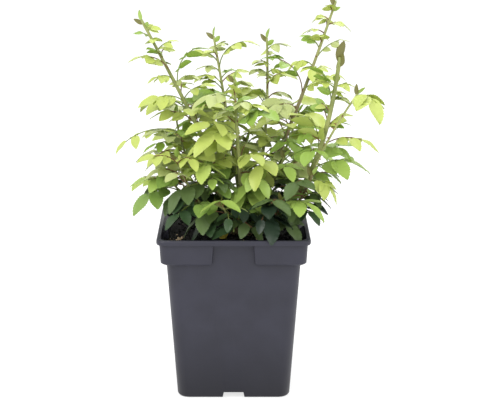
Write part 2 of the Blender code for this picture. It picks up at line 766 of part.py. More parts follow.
def keep_largest_island(mesh):
    """Drops loose scraps, and the inner skin of any hollow that the joining sealed."""
    shape = bmesh.new()
    shape.from_mesh(mesh)
    unseen = set(shape.verts)
    islands = []
    while unseen:
        island = set()
        edge_of_search = [unseen.pop()]
        while edge_of_search:
            vert = edge_of_search.pop()
            island.add(vert)
            for edge in vert.link_edges:
                other = edge.other_vert(vert)
                if other in unseen:
                    unseen.remove(other)
                    edge_of_search.append(other)
        islands.append(island)
    largest = max(islands, key=len)
    bmesh.ops.delete(shape, geom=[v for v in shape.verts if v not in largest], context="VERTS")
    bmesh.ops.triangulate(shape, faces=shape.faces)
    shape.to_mesh(mesh)
    shape.free()
    mesh.update()


def join_mass(name, stem, shapes, parts, material):
    """One solid from a stem and the twigs and leaflets that are rooted in it."""
    loose = new_collection(f"{name} pieces")
    mass = make_object(name, stem, parts, material)
    for number, shape in enumerate(shapes):
        make_object(f"{name} piece {number}", shape, loose)
    union = mass.modifiers.new("join", "BOOLEAN")
    union.operation = "UNION"
    union.operand_type = "COLLECTION"
    union.collection = loose
    union.solver = "EXACT"
    union.use_self = False
    graph = bpy.context.evaluated_depsgraph_get()
    joined = bpy.data.meshes.new_from_object(mass.evaluated_get(graph))
    mass.modifiers.clear()
    mass.data = joined
    for obj in list(loose.objects):
        bpy.data.objects.remove(obj, do_unlink=True)
    bpy.data.collections.remove(loose)
    keep_largest_island(mass.data)
    mass.data.name = name
    return mass


# The whole plant

def make_boughs(room, parts, cutters, material):
    """The bare lower stretch of each shoot, cut clear of the union."""
    clearing = make_cutter("union_clearing", union_shape(GAP), cutters)
    boughs = []
    for shoot in SHOOTS:
        shape = limb_shape(shoot, 0.0, shoot.bare, BOUGH_STEPS, BOUGH_SIDES)
        room.add(f"{shoot.name} bough", shape)
        bough = make_object(f"{shoot.name}_bough", shape, parts, material)
        boolean(bough, "DIFFERENCE", clearing)
        soften(bough, BARK_CREASE)
        boughs.append(bough)
    return boughs


def make_masses(room, parts, young, mature):
    """Stems first, then the standing leaves, then the leaves by the rule, then one solid each."""
    shoots = SHOOTS + (SIDE_SHOOT,)
    stems = {}
    pieces = {shoot.name: [] for shoot in shoots}
    for shoot in shoots:
        stems[shoot.name] = limb_shape(shoot, stem_start(shoot), 1.0, STEM_STEPS, STEM_SIDES)
        room.add(stem_name(shoot), stems[shoot.name])
    for shoot in shoots:
        for frame in bud_frames(shoot, random.Random(f"{shoot.name} buds")):
            if fits(room, lambda margin: leaflet_shape(frame, margin), stem_name(shoot)):
                pieces[shoot.name].append(leaflet_shape(frame))
    for shoot in shoots:
        for shape in pieces[shoot.name]:
            room.add(f"{shoot.name} buds", shape)
    for leaf in STANDING_LEAVES:
        shoot = next(s for s in shoots if s.name == leaf.shoot)
        grow_leaf(room, shoot, standing_tries(leaf), pieces[shoot.name])
    for shoot in shoots:
        for number in range(shoot.leaves):
            grow_leaf(room, shoot, rule_tries(shoot, number), pieces[shoot.name])
    masses = []
    for shoot in shoots:
        material = young if shoot.young else mature
        mass = join_mass(
            f"{shoot.name}_foliage", stems[shoot.name], pieces[shoot.name], parts, material
        )
        masses.append(mass)
    return masses


def main():
    clear_scene()
    parts = new_collection("potted_bush_rose")
    cutters = new_collection("cutters")
    plastic = new_material("pot_plastic", (0.055, 0.056, 0.066), 0.45)
    earth = new_material("potting_soil", (0.012, 0.009, 0.007), 0.95)
    wood = new_material("union_bark", (0.12, 0.09, 0.045), 0.8)
    green_bark = new_material("cane_bark", (0.16, 0.20, 0.05), 0.6)
    young = new_material("young_leaf", (0.36, 0.52, 0.06), 0.5)
    mature = new_material("mature_leaf", (0.07, 0.14, 0.035), 0.5)

    room = Room()
    pot = make_pot(parts, cutters, plastic)
    soil = make_soil(parts, cutters, earth)
    union = make_object("bud_union", union_shape(), parts, wood)
    soften(union, BARK_CREASE)
    for obj in (pot, soil, union):
        shape = bmesh.new()
        shape.from_mesh(obj.data)
        room.add(obj.name, shape)
        shape.free()
    boughs = make_boughs(room, parts, cutters, green_bark)
    masses = make_masses(room, parts, young, mature)

    stand = bpy.data.objects.new("plant_and_pot", None)
    parts.objects.link(stand)
    for obj in [pot, soil, union] + boughs + masses:
        obj.parent = stand


main()
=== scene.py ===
"""The looks of a young bush rose in a square nursery pot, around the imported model.

Lengths are metres, but those of shoots, leaves and buds are millimetres, and so is what ends in _MM.
Headings are degrees seen from above: 0 is right (+X), 90 is back (+Y), 180 left and 270 front.
The leaves of the solids grow again here by the same rule, and finer leaves fill in between them.
"""

import itertools
import math
import random
from collections import defaultdict, namedtuple

import bmesh
import bpy
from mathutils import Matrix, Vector, noise
from mathutils.bvhtree import BVHTree


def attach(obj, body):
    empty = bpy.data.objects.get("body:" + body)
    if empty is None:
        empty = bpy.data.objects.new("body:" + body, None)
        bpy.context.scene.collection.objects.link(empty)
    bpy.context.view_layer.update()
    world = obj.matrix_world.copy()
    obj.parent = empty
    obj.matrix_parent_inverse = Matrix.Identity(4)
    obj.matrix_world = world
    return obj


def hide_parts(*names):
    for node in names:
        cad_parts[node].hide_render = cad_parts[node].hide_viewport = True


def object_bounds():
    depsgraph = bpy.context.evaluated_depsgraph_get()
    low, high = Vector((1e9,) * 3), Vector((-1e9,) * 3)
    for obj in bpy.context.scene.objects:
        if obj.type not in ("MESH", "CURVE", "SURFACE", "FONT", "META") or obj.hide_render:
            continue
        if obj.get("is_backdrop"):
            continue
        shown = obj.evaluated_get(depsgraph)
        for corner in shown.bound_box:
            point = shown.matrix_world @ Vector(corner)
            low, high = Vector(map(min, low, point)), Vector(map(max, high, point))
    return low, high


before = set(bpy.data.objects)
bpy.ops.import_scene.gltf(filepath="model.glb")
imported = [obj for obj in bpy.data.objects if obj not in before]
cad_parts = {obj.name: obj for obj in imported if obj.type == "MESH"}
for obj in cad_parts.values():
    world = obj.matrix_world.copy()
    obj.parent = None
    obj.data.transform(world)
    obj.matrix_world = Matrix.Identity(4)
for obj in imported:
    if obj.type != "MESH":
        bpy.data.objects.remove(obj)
cad_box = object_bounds()

MM = 0.001
UP = Vector((0, 0, 1))

# Clearance between pieces that touch on the real plant
GAP = 0.0003

# Edges of the pot sharper than this, in degrees, stay hard where the rest is shaded smooth
POT_CREASE = 35

# Pot: a square container with a lip, a deep collar and a flush panel in the middle of each side
POT_HEIGHT = 0.219
RIM_HALF = 0.095
LIP_HEIGHT = 0.006
LIP_ROUND = 0.0015
COLLAR_HEIGHT = 0.033
COLLAR_FOOT = POT_HEIGHT - COLLAR_HEIGHT
COLLAR_TOP_HALF = 0.0920
COLLAR_FOOT_HALF = 0.0903
COLLAR_FOOT_ROUND = 0.0018
BODY_TOP_HALF = 0.0838
BASE_HALF = 0.0722
BASE_ROUND = 0.0035
ROUND_START = 0.3
ROUND_END = 0.7
POT_WALL = 0.0018
POT_FLOOR = 0.003
RIM_CORNER = 0.010
BODY_CORNER = 0.014
CORNER_STEPS = 8
PANEL_TOP_HALF = 0.0243
PANEL_FOOT_HALF = 0.0268
PANEL_STEP_WIDTH = 0.0003

# Feet: a low tunnel runs in from the middle of each side, under its own roof inside the pot
TUNNEL_FOOT_WIDTH = 0.0296
TUNNEL_TOP_WIDTH = 0.0252
TUNNEL_HEIGHT = 0.0083
TUNNEL_DEPTH = 0.030
TUNNEL_WALL = 0.0018
DRAIN_RADIUS = 0.005
DRAIN_PLACE = 0.052
DRAIN_SIDES = 12

# Potting soil: its top, and how far out it reaches where the pot's panels step in over it
SOIL_TOP = 0.201
SOIL_PLAIN_HALF = 0.078

# Bud union: the short swollen stem that all shoots rise from, as (height, radius) in millimetres
UNION_CENTRE = Vector((0.014, 0.004, 0))
UNION_PROFILE_MM = ((0, 19), (3, 16.5), (7, 14.5), (12, 14), (18, 15.5), (24, 15.5), (29, 12.5), (32, 7))
UNION_SIDES = 64
UNION_STEPS = 40
UNION_LEAN = 0.06
ROOT_FLARES = 5
ROOT_FLARE_DEPTH = 0.0028
ROOT_FLARE_HEIGHT = 0.012
UNION_KNOB_DEPTH = 0.0016
UNION_KNOB_SCALE = 160

# Shoots: each rises from the union past an elbow to its tip
BOUGH_SIDES = 6
STEM_SIDES = 5
TWIG_SIDES = 3
BOUGH_STEPS = 4
STEM_STEPS = 5
FOOT_DEPTH = 0.009
SIDE_SHOOT_CLEARANCE = 0.0004

# Leaves: a stalk that arches down, with pairs of leaflets and one at its end
STALK_STEPS = 3
STALK_RADII = (0.0012, 0.0011)
LEAFLET_THICKNESS = 0.0009
LEAFLET_WIDEST = 0.44
LEAFLET_WIDTH_SHARE = 0.58
LEAFLET_FOLD = 0.22
LEAFLET_CURL = 0.14
LEAFLET_SINK = 0.0005
END_LEAFLET_SINK = 0.0009
PAIR_STAGGER = 0.0017
PAIR_PLACES = {3: (0.72,), 5: (0.48, 0.78)}
PAIR_ANGLE = 62
PAIR_SIZES = (0.84, 0.96)
LEAF_CLEARANCE = 0.0004

# How far a leaflet may stray from its place: least and most, in degrees or as shares of its length
PAIR_TURN = (-8, 8)
PAIR_DROOP = (2, 28)
PAIR_ROLL = (-22, 10)
PAIR_LENGTH = (0.93, 1.05)
END_TURN = (-14, 14)
END_DROOP = (2, 20)
END_ROLL = (-15, 15)

# Buds: small folded leaflets round each tip, each a little lower and more open than the last
BUD_SPACING = 0.014
BUD_FIRST = 0.6
BUD_SIZES = (0.85, 1.15)
BUD_ROLL = (-30, 30)
TIP_RUN = 0.04

# The rule: leaves go round each shoot. From low to high they rise more, arch less and get smaller.
ANGLE_BETWEEN_LEAVES = 137.5
LEAF_TRIES = 8
FEWEST_LEAFLETS = 2
LIFT_HEIGHT = 0.16
RISES = (38, 54)
BENDS = (74, 50)
LEAFLET_SHARES = (0.80, 0.70)
RULE_LEAFLETS = (3, 5)
RULE_PLACE = (0.2, 0.8)
RULE_RISE = (-8, 14)
RULE_LENGTH = (0.85, 1.2)
RULE_BEND = (-14, 14)
RULE_SIZE = (0.92, 1.08)
SIDESTEPS = (0, 8, -8, 16, -16, 24, -24)

# Each shoot: elbow and tip are points in millimetres, foot_height is how far up the union it starts
# and the radii are in millimetres. Its first stretch, up to the share bare of its length, is a bough.
# The rest is the stem of a mass of leaves that keeps within reach of it. Leaves by the rule stand
# between the shares first and last.
Shoot = namedtuple(
    "Shoot", "name foot_height elbow tip foot_radius tip_radius bare reach leaves first last stalk buds"
)
SHOOTS = (
    Shoot("left", 25, (-30, 0, 315), (-114, 0, 476), 3.5, 1.7, 0.42, 95, 3, 0.44, 0.62, 48, 4),
    Shoot("inner_left", 27, (-4, 45, 325), (-26, 70, 446), 2.8, 1.3, 0.40, 90, 3, 0.43, 0.70, 46, 4),
    Shoot("front", 23, (6, -38, 300), (1, -50, 410), 3.3, 1.5, 0.22, 90, 4, 0.30, 0.74, 46, 4),
    Shoot("centre", 22, (50, 65, 285), (44, 100, 439), 2.9, 1.4, 0.40, 90, 4, 0.43, 0.72, 48, 4),
    Shoot("tall_right", 26, (66, 28, 302), (131, 60, 492), 3.6, 1.5, 0.38, 95, 3, 0.41, 0.60, 50, 4),
    Shoot("thick_right", 14, (108, -28, 228), (128, -50, 438), 4.6, 2.3, 0.48, 95, 2, 0.50, 0.68, 46, 4),
    Shoot("middle_left", 15, (-62, 8, 262), (-74, 18, 352), 2.6, 1.1, 0.35, 100, 4, 0.40, 0.97, 46, 2),
    Shoot("middle_front", 18, (-22, -28, 258), (-34, -36, 300), 2.3, 1.1, 0.35, 75, 4, 0.42, 0.97, 44, 2),
    Shoot("middle_right", 17, (46, -12, 258), (64, -16, 305), 2.3, 1.1, 0.35, 75, 4, 0.42, 0.97, 46, 2),
    Shoot("back_left", 12, (-20, 70, 270), (-62, 92, 345), 2.5, 1.1, 0.35, 85, 4, 0.40, 0.97, 50, 2),
    Shoot("back_right", 10, (60, 55, 262), (88, 95, 342), 2.5, 1.1, 0.35, 85, 4, 0.40, 0.97, 50, 2),
    Shoot("low_front_left", 8, (-52, -34, 238), (-70, -46, 312), 2.1, 1.0, 0.34, 75, 3, 0.36, 0.97, 44, 2),
    Shoot("low_left", 6, (-52, 0, 230), (-80, -8, 272), 2.1, 1.0, 0.34, 70, 5, 0.36, 0.97, 44, 2),
    Shoot("low_front", 6, (-4, -46, 226), (-14, -62, 256), 2.0, 0.9, 0.34, 65, 6, 0.36, 0.97, 42, 2),
    Shoot("low_front_right", 7, (45, -42, 226), (60, -60, 262), 2.0, 0.9, 0.34, 65, 6, 0.36, 0.97, 42, 2),
    Shoot("low_right", 5, (80, -28, 226), (98, -40, 288), 2.1, 1.2, 0.70, 60, 3, 0.78, 0.97, 38, 2),
    Shoot("low_back", 8, (15, 60, 240), (18, 98, 300), 2.2, 1.0, 0.34, 75, 5, 0.38, 0.97, 46, 2),
)

# The side shoot of the thick right one leaves it at a fork and is all stem, with no bough
SIDE_SHOOT = Shoot("side_right", 0, (117, -52, 345), (150, -56, 394), 1.6, 1.2, 0.0, 80, 0, 0.3, 0.9, 40, 2)
ALL_SHOOTS = SHOOTS + (SIDE_SHOOT,)
SIDE_SHOOT_PARENT = "thick_right"
SIDE_SHOOT_FORK = 0.50
SIDE_SHOOT_HEADING = 292

# The leaves that stand out of the crown, by shoot: share is along the shoot, rise is the angle at which
# the stalk starts, bend is how far it arches down, length and leaflet are in millimetres
Leaf = namedtuple("Leaf", "shoot share heading rise length bend leaflets leaflet")
STANDING_LEAVES = {
    "left": (
        (0.93, 150, 35, 16, 30, 3, 12),
        (0.88, 15, 55, 18, 40, 3, 14),
        (0.77, 200, 76, 46, 75, 5, 24),
        (0.70, 330, 112, 64, 85, 5, 22),
        (0.65, 208, 45, 40, 60, 5, 28),
        (0.54, 160, 54, 44, 60, 5, 24),
    ),
    "inner_left": (
        (0.82, 350, 93, 54, 85, 5, 22),
        (0.86, 160, 58, 30, 60, 5, 19),
        (0.74, 226, 54, 34, 50, 5, 22),
    ),
    "front": (
        (0.88, 204, 42, 38, 60, 5, 26),
        (0.82, 329, 52, 26, 60, 5, 24),
        (0.71, 337, 66, 42, 60, 5, 32),
        (0.62, 225, 60, 48, 80, 5, 38),
        (0.38, 306, 30, 44, 60, 5, 25),
        (0.28, 229, 28, 46, 50, 5, 25),
    ),
    "centre": (
        (0.95, 341, 56, 18, 50, 3, 20),
        (0.86, 240, 71, 26, 60, 5, 18),
        (0.76, 330, 98, 36, 90, 5, 26),
    ),
    "tall_right": (
        (0.89, 205, 40, 20, 40, 3, 16),
        (0.92, 10, 30, 16, 40, 3, 20),
        (0.79, 9, 65, 42, 50, 5, 15),
        (0.65, 196, 97, 64, 80, 5, 24),
        (0.43, 270, 50, 50, 90, 5, 30),
    ),
    "thick_right": (
        (0.90, 215, 50, 24, 45, 3, 18),
        (0.82, 207, 100, 52, 50, 5, 22),
        (0.62, 222, 114, 62, 80, 5, 31),
        (0.67, 355, 48, 56, 70, 5, 26),
        (0.56, 281, 42, 38, 60, 5, 30),
    ),
    "side_right": (
        (0.97, 340, 30, 24, 60, 5, 34),
    ),
    "middle_left": (
        (0.88, 192, 22, 72, 60, 5, 21),
        (0.70, 225, 40, 48, 60, 5, 24),
    ),
    "low_front_left": (
        (0.93, 205, 55, 38, 60, 5, 23),
        (0.75, 250, 60, 42, 60, 5, 22),
        (0.63, 190, 50, 62, 60, 5, 25),
        (0.48, 233, 22, 48, 50, 5, 26),
    ),
    "low_front": (
        (0.60, 308, 14, 40, 40, 5, 25),
    ),
    "low_right": (
        (0.95, 345, 12, 24, 55, 5, 26),
    ),
}

# Filler leaves: more of them by the same rule, on the bare stretches too, wherever there is room
FILLERS = 13
LOW_FILLERS = 20
LOW_TIP = 300
FILLER_FIRST = 0.42
FILLER_LAST = 0.96
FILLER_TRIES = 5
FILLER_STALK = (0.55, 1.0)
FILLER_LEAFLET = (0.62, 0.95)
FILLER_LEAFLETS = (3, 5, 5)
FILLER_LOWEST = 0.222

# Young leaves crowd the upper part of the tall shoots, smaller towards the tip
TIP_LEAVES = 13
TIP_HEIGHT = 400
TIP_PLACES = (0.66, 0.992)
TIP_STALK = (30, 9)
TIP_LEAFLET = (20, 14)
TIP_RISE = (40, 80)
TIP_BEND = (30, 85)

# Buds as (spread, length, narrowness): those of the solids, and those of the dressed plant, most of
# them open into small leaflets and one fat and closed
SOLID_BUD = (13, 15, 0.62)
OPEN_BUD = (25, 13, 0.74)
FAT_BUD = (7, 19, 0.85)
FAT_BUD_SHOOT = "thick_right"

# Fine blades: stations along the midrib, an outline of two powers, teeth along both edges, side veins
# in relief and a slow wave. Heights and depths are shares of half the blade's width.
BLADE_STATIONS = 10
BLADE_ROUND = 0.62
BLADE_POINT = 0.85
BLADE_TOOTH = 0.10
BLADE_TOOTH_PLACE = 0.72
BLADE_MID = 0.55
BLADE_VEIN = 0.09
BLADE_WAVE = 0.06
BLADE_WAVE_RATE = 9
PETIOLE_RADII = (0.0009, 0.0006)
PETIOLE_SIDES = 5
PETIOLE_STEPS = 8

# Canes: ridged and a little twisted, with a swelling at each node
CANE_SIDES = 14
CANE_STEPS = 48
CANE_RIDGE = 0.035
CANE_RIDGES = 5
CANE_TWIST = 3
CANE_NODES = 9
CANE_NODE_SWELL = 0.10
CANE_NODE_SHARPNESS = 8
BROWN_CANES = ("tall_right", "low_right")

# Thorns: each station has its place out and down and the lean of its ring, as shares of the length,
# and its radius as a share of the base
THORNS_PER_CANE = 7
THORN_PLACES = (0.2, 0.9)
THORN_ROOT = 0.8
THORN_LENGTH = 0.0042
THORN_BASE = 0.0013
THORN_SIDES = 6
THORN_STATIONS = ((0.0, 0.0, 0.0, 1.0), (0.5, 0.0, 0.3, 0.5), (1.0, 0.35, 0.7, 0.08))

# Leaf tones from the foot of the plant, dark there partly with age and partly with painted shade, to its
# tips, as linear base colours
TONES = (
    ("shadow", (0.016, 0.034, 0.017)),
    ("deep", (0.036, 0.074, 0.027)),
    ("dull", (0.100, 0.155, 0.050)),
    ("middle", (0.210, 0.330, 0.068)),
    ("fresh", (0.320, 0.455, 0.092)),
    ("bright", (0.405, 0.520, 0.115)),
    ("tip", (0.475, 0.560, 0.130)),
)
# Painted sheen: a pale tone that stands in for the whitish shine of light on glossy leaves
PAINTED_SHEEN_TONE = ("pale", (0.455, 0.520, 0.200))
GRASS_TONE = ("grass", (0.275, 0.420, 0.070))
BUD_TONE = ("bud", (0.165, 0.160, 0.044))
YELLOW_TONE = ("yellow", (0.620, 0.500, 0.060))
STALK_TINTS = (("green", (0.200, 0.260, 0.060)), ("red", (0.170, 0.085, 0.035)))
RED_STALK_SHARE = 0.45
LEAF_ROUGHNESS = 0.42
LEAF_SPECULAR = 0.45

# How sprays get their tones: by height between foot and top, where the darkening low down is partly older
# leaves and partly painted shade, with some chance, a little darker towards the front as painted shade, and
# now and then a pale painted sheen or grass green
SHADE_FOOT = 0.215
SHADE_TOP = 0.312
SHADE_STRAY = 0.30
FRONT_PAINTED_SHADE = 0.16
PAINTED_SHEEN_SHARE = 0.16
PAINTED_SHEEN_LOWEST = 0.27
GRASS_SHARE = 0.24
GRASS_LOWEST = 0.31

# The fallen leaflet, and what lies on the soil
FALLEN_PLACE = Vector((-0.017, -0.034, 0.2035))
FALLEN_ALONG = Vector((0.6, 0.5, 0.62))
FALLEN_SIDE = Vector((-0.64, 0.77, 0))
FALLEN_ROLL = 50
FALLEN_LENGTH = 17
Litter = namedtuple("Litter", "name look count sizes centre spread")
LITTER = (
    Litter("soil_crumbs", "earth", 900, (0.0007, 0.0026), (0.0, 0.0), 0.086),
    Litter("soil_tan_specks", "tan", 46, (0.0008, 0.0017), (0.0, 0.0), 0.086),
    Litter("soil_tan_chips", "tan", 26, (0.0008, 0.0021), (-0.074, -0.030), 0.011),
)
LITTER_RISE = (-0.2, 0.5)
LITTER_LUMPS = (0.6, 1.2)

# Mottled looks: two linear base colours mixed by a noise, with a finer noise in relief
Look = namedtuple("Look", "low high roughness scale detail relief_scale relief_depth")
GREEN_BARK = Look((0.215, 0.250, 0.070), (0.350, 0.375, 0.130), 0.45, 45.0, 4.0, 700.0, 0.0003)
BROWN_BARK = Look((0.150, 0.100, 0.050), (0.260, 0.215, 0.090), 0.5, 45.0, 4.0, 700.0, 0.0003)
THORN_HORN = Look((0.190, 0.075, 0.035), (0.260, 0.120, 0.050), 0.5, 300.0, 2.0, 900.0, 0.0001)
UNION_BARK = Look((0.070, 0.050, 0.026), (0.170, 0.125, 0.065), 0.85, 120.0, 6.0, 500.0, 0.0012)
EARTH = Look((0.004, 0.004, 0.003), (0.017, 0.014, 0.011), 0.95, 260.0, 8.0, 420.0, 0.004)
TAN_FIBRE = Look((0.330, 0.230, 0.130), (0.560, 0.440, 0.280), 0.9, 400.0, 2.0, 800.0, 0.0003)
MOTTLE_RANGE = (0.35, 0.65)
RELIEF_DETAIL = 4.0

# Brown bark turns to these greens between these heights
BARK_GREENS = ((0.215, 0.250, 0.070), (0.330, 0.350, 0.120))
BARK_GREEN_HEIGHTS = (0.34, 0.45)

# The pot's plastic: tints, a span of roughness, noises as (scale, detail) and its grain in relief as
# (scale, detail, strength, depth)
PLASTIC_TINTS = ((0.022, 0.022, 0.034), (0.027, 0.027, 0.042))
PLASTIC_MOTTLE = (26.0, 5.0)
# Painted shade: the pot darkens to this tint at its foot and is clear of it at the shade height
PLASTIC_PAINTED_SHADE_TINT = (0.006, 0.006, 0.012)
PLASTIC_PAINTED_SHADE_HEIGHT = 0.10
PLASTIC_SPECULAR = 0.38
PLASTIC_ROUGHNESS = (0.34, 0.52)
PLASTIC_SMUDGES = (60.0, 6.0)
PLASTIC_GRAIN = (900.0, 3.0, 0.35, 0.00012)

# The floor's paper glows a little, so that it is white as far as the picture shows it
FLOOR_SIZE = 6.0
PAPER_TINT = 0.35
PAPER_ROUGHNESS = 0.9
PAPER_GLOW = 0.72

# Lights: name, place, size in metres and power in watts, all aimed at one point
WHITE = (1.0, 1.0, 1.0)
LIGHTS = (
    ("key", (-1.1, -1.3, 1.9), 1.4, 28.5),
    ("fill", (1.5, -1.0, 1.2), 1.6, 13.0),
    ("back", (0.3, 1.6, 1.8), 1.6, 18.0),
)
LIGHT_AIM = Vector((0, 0, 0.25))

# Camera: the photo's viewpoint
IMAGE_WIDTH = 500
CAMERA_PLACE = (0.0, -1.4633, 0.6641)
CAMERA_TILT = 74
CAMERA_LENS = 85
CAMERA_SENSOR = 36
POT_CENTRE_PIXEL = 233.6


# Shared functions

def mix(low, high, share):
    return low + (high - low) * share


def between(first, second, angle):
    """The direction at an angle from a first one towards a second one, square to it."""
    return first * math.cos(angle) + second * math.sin(angle)


def level(angle):
    return Vector((math.cos(angle), math.sin(angle), 0))


def ease(share):
    """A share from 0 to 1 that starts and ends gently."""
    return share * share * (3 - 2 * share)


def loft(rings):
    """A closed mesh through rings of equal point counts, with a flat cap at each end."""
    shape = bmesh.new()
    rows = [[shape.verts.new(point) for point in ring] for ring in rings]
    count = len(rows[0])
    for low, high in zip(rows, rows[1:]):
        for k in range(count):
            after = (k + 1) % count
            shape.faces.new((low[k], low[after], high[after], high[k]))
    shape.faces.new(reversed(rows[0]))
    shape.faces.new(rows[-1])
    bmesh.ops.recalc_face_normals(shape, faces=shape.faces)
    return shape


def add_object(name, mesh, material):
    obj = bpy.data.objects.new(name, mesh)
    mesh.materials.append(material)
    bpy.context.scene.collection.objects.link(obj)
    return obj


def object_from(name, shape, material):
    """An object from a bmesh, which is used up."""
    mesh = bpy.data.meshes.new(name)
    shape.to_mesh(mesh)
    shape.free()
    return add_object(name, mesh, material)


class Sheaf:
    """Points and faces of many small pieces that end up as one mesh."""

    def __init__(self):
        self.points = []
        self.faces = []

    def add(self, points, faces):
        start = len(self.points)
        self.points.extend(points)
        self.faces.extend(tuple(start + k for k in face) for face in faces)

    def add_shape(self, shape):
        shape.verts.index_update()
        points = [vert.co.copy() for vert in shape.verts]
        self.add(points, [tuple(vert.index for vert in face.verts) for face in shape.faces])
        shape.free()

    def build(self, name, material):
        mesh = bpy.data.meshes.new(name)
        mesh.from_pydata(self.points, [], self.faces)
        mesh.update()
        mesh.shade_smooth()
        return add_object(name, mesh, material)


def nodes_ending(ending):
    return [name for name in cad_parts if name.endswith(ending)]


def finish_piece(piece, nodes):
    """Fixes a piece to the plant and hides the CAD nodes it stands for."""
    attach(piece, "root")
    if nodes:
        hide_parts(*nodes)


# Materials

def set_inputs(node, inputs):
    """Gives inputs of a node their values, colours or links from other nodes."""
    for name, value in inputs.items():
        if isinstance(value, bpy.types.NodeSocket):
            node.id_data.links.new(value, node.inputs[name])
        else:
            node.inputs[name].default_value = (*value, 1.0) if isinstance(value, tuple) else value


def add_node(tree, kind, inputs):
    node = tree.nodes.new(f"ShaderNode{kind}")
    set_inputs(node, inputs)
    return node


def new_material(name, colour, roughness):
    """A material and its shader node."""
    material = bpy.data.materials.new(name)
    material.use_nodes = True
    shader = material.node_tree.nodes["Principled BSDF"]
    set_inputs(shader, {"Base Color": colour, "Roughness": roughness})
    return material, shader


def leaf_material(name, colour):
    """A plain colour with the soft sheen of a rose leaf."""
    material, shader = new_material(f"leaf_{name}", colour, LEAF_ROUGHNESS)
    set_inputs(shader, {"Specular IOR Level": LEAF_SPECULAR})
    return material


def object_place(tree):
    return tree.nodes.new("ShaderNodeTexCoord").outputs["Object"]


def noise_node(tree, scale, detail):
    texture = add_node(tree, "TexNoise", {"Scale": scale, "Detail": detail, "Vector": object_place(tree)})
    return texture.outputs["Fac"]


def ramp_node(tree, factor, *colours):
    """A noise as a run between two colours."""
    ramp = add_node(tree, "ValToRGB", {"Fac": factor})
    for element, position, colour in zip(ramp.color_ramp.elements, MOTTLE_RANGE, colours):
        element.position = position
        element.color = (*colour, 1.0)
    return ramp.outputs["Color"]


def relief(tree, scale, detail, strength, depth):
    """A bump of the surface by a fine noise."""
    bump = add_node(tree, "Bump", {"Strength": strength, "Distance": depth})
    set_inputs(bump, {"Height": noise_node(tree, scale, detail)})
    return bump.outputs["Normal"]


def height_share(tree, low, high):
    """How far up between two heights a point of the surface is, from 0 to 1."""
    split = add_node(tree, "SeparateXYZ", {"Vector": object_place(tree)})
    rise = add_node(tree, "MapRange", {"From Min": low, "From Max": high, "Value": split.outputs["Z"]})
    return rise.outputs["Result"]


def mix_colours(tree, share, low, high):
    blend = tree.nodes.new("ShaderNodeMix")
    blend.data_type = "RGBA"
    set_inputs(blend, {"Factor": share, "A": low, "B": high})
    return blend.outputs["Result"]


def mottled_material(name, look, greens=None):
    """A mottled look, which may turn to two greens higher up."""
    material, shader = new_material(name, look.low, look.roughness)
    tree = material.node_tree
    mottle = noise_node(tree, look.scale, look.detail)
    colour = ramp_node(tree, mottle, look.low, look.high)
    if greens:
        rise = height_share(tree, *BARK_GREEN_HEIGHTS)
        colour = mix_colours(tree, rise, colour, ramp_node(tree, mottle, *greens))
    normal = relief(tree, look.relief_scale, RELIEF_DETAIL, 1.0, look.relief_depth)
    set_inputs(shader, {"Base Color": colour, "Normal": normal})
    return material


def plastic_material():
    """Dark blow-moulded plastic: a faint mottle in colour and sheen, with painted shade darkening it
    towards its foot.
    """
    least, most = PLASTIC_ROUGHNESS
    material, shader = new_material("pot_plastic", PLASTIC_PAINTED_SHADE_TINT, least)
    tree = material.node_tree
    mottle = ramp_node(tree, noise_node(tree, *PLASTIC_MOTTLE), *PLASTIC_TINTS)
    # Painted shade: the colour runs from the dark foot tint at the bottom up to the plain mottle at the
    # shade height
    colour = mix_colours(tree, height_share(tree, 0.0, PLASTIC_PAINTED_SHADE_HEIGHT), PLASTIC_PAINTED_SHADE_TINT, mottle)
    smudges = noise_node(tree, *PLASTIC_SMUDGES)
    sheen = add_node(tree, "MapRange", {"To Min": least, "To Max": most, "Value": smudges})
    set_inputs(shader, {"Base Color": colour, "Roughness": sheen.outputs["Result"]})
    set_inputs(shader, {"Normal": relief(tree, *PLASTIC_GRAIN), "Specular IOR Level": PLASTIC_SPECULAR})
    return material


# Shoots, by the rule of the solids

def shoot_foot(shoot):
    """Where a shoot's axis starts, inside the union, or beside its parent for the side shoot."""
    if shoot.name == SIDE_SHOOT.name:
        parent = next(s for s in SHOOTS if s.name == SIDE_SHOOT_PARENT)
        apart = radius_at(parent, SIDE_SHOOT_FORK) + shoot.foot_radius * MM + SIDE_SHOOT_CLEARANCE
        return axis_point(parent, SIDE_SHOOT_FORK) + level(math.radians(SIDE_SHOOT_HEADING)) * apart
    centre = UNION_CENTRE + UP * (SOIL_TOP + GAP + shoot.foot_height * MM)
    out = Vector(shoot.elbow) * MM - centre
    out.z = 0
    return centre + out.normalized() * FOOT_DEPTH


def axis_points(shoot):
    """The foot, elbow and tip of a shoot's axis."""
    return shoot_foot(shoot), Vector(shoot.elbow) * MM, Vector(shoot.tip) * MM


def axis_point(shoot, share):
    """A point on the shoot's axis, one smooth bend from its foot past its elbow to its tip."""
    foot, elbow, tip = axis_points(shoot)
    return foot.lerp(elbow, share).lerp(elbow.lerp(tip, share), share)


def axis_run(shoot, share):
    """The direction of the shoot's axis at a share of its length."""
    foot, elbow, tip = axis_points(shoot)
    return (elbow - foot).lerp(tip - elbow, share).normalized()


def radius_at(shoot, share):
    return mix(shoot.foot_radius, shoot.tip_radius, share) * MM


def tube(points, runs, radii, sides, ridge=None, swell=None):
    """A closed tube through points, each ring square to its run, with a corner towards ridge.

    Its radii may swell by what a function says for the number of a ring and an angle round it.
    """
    across = ridge or runs[0].orthogonal()
    rings = []
    for number, (point, along, radius) in enumerate(zip(points, runs, radii)):
        across = (across - along * across.dot(along)).normalized()
        beside = along.cross(across)
        ring = []
        for side in range(sides):
            angle = math.tau * side / sides
            size = radius * swell(number, angle) if swell else radius
            ring.append(point + between(across, beside, angle) * size)
        rings.append(ring)
    return loft(rings)


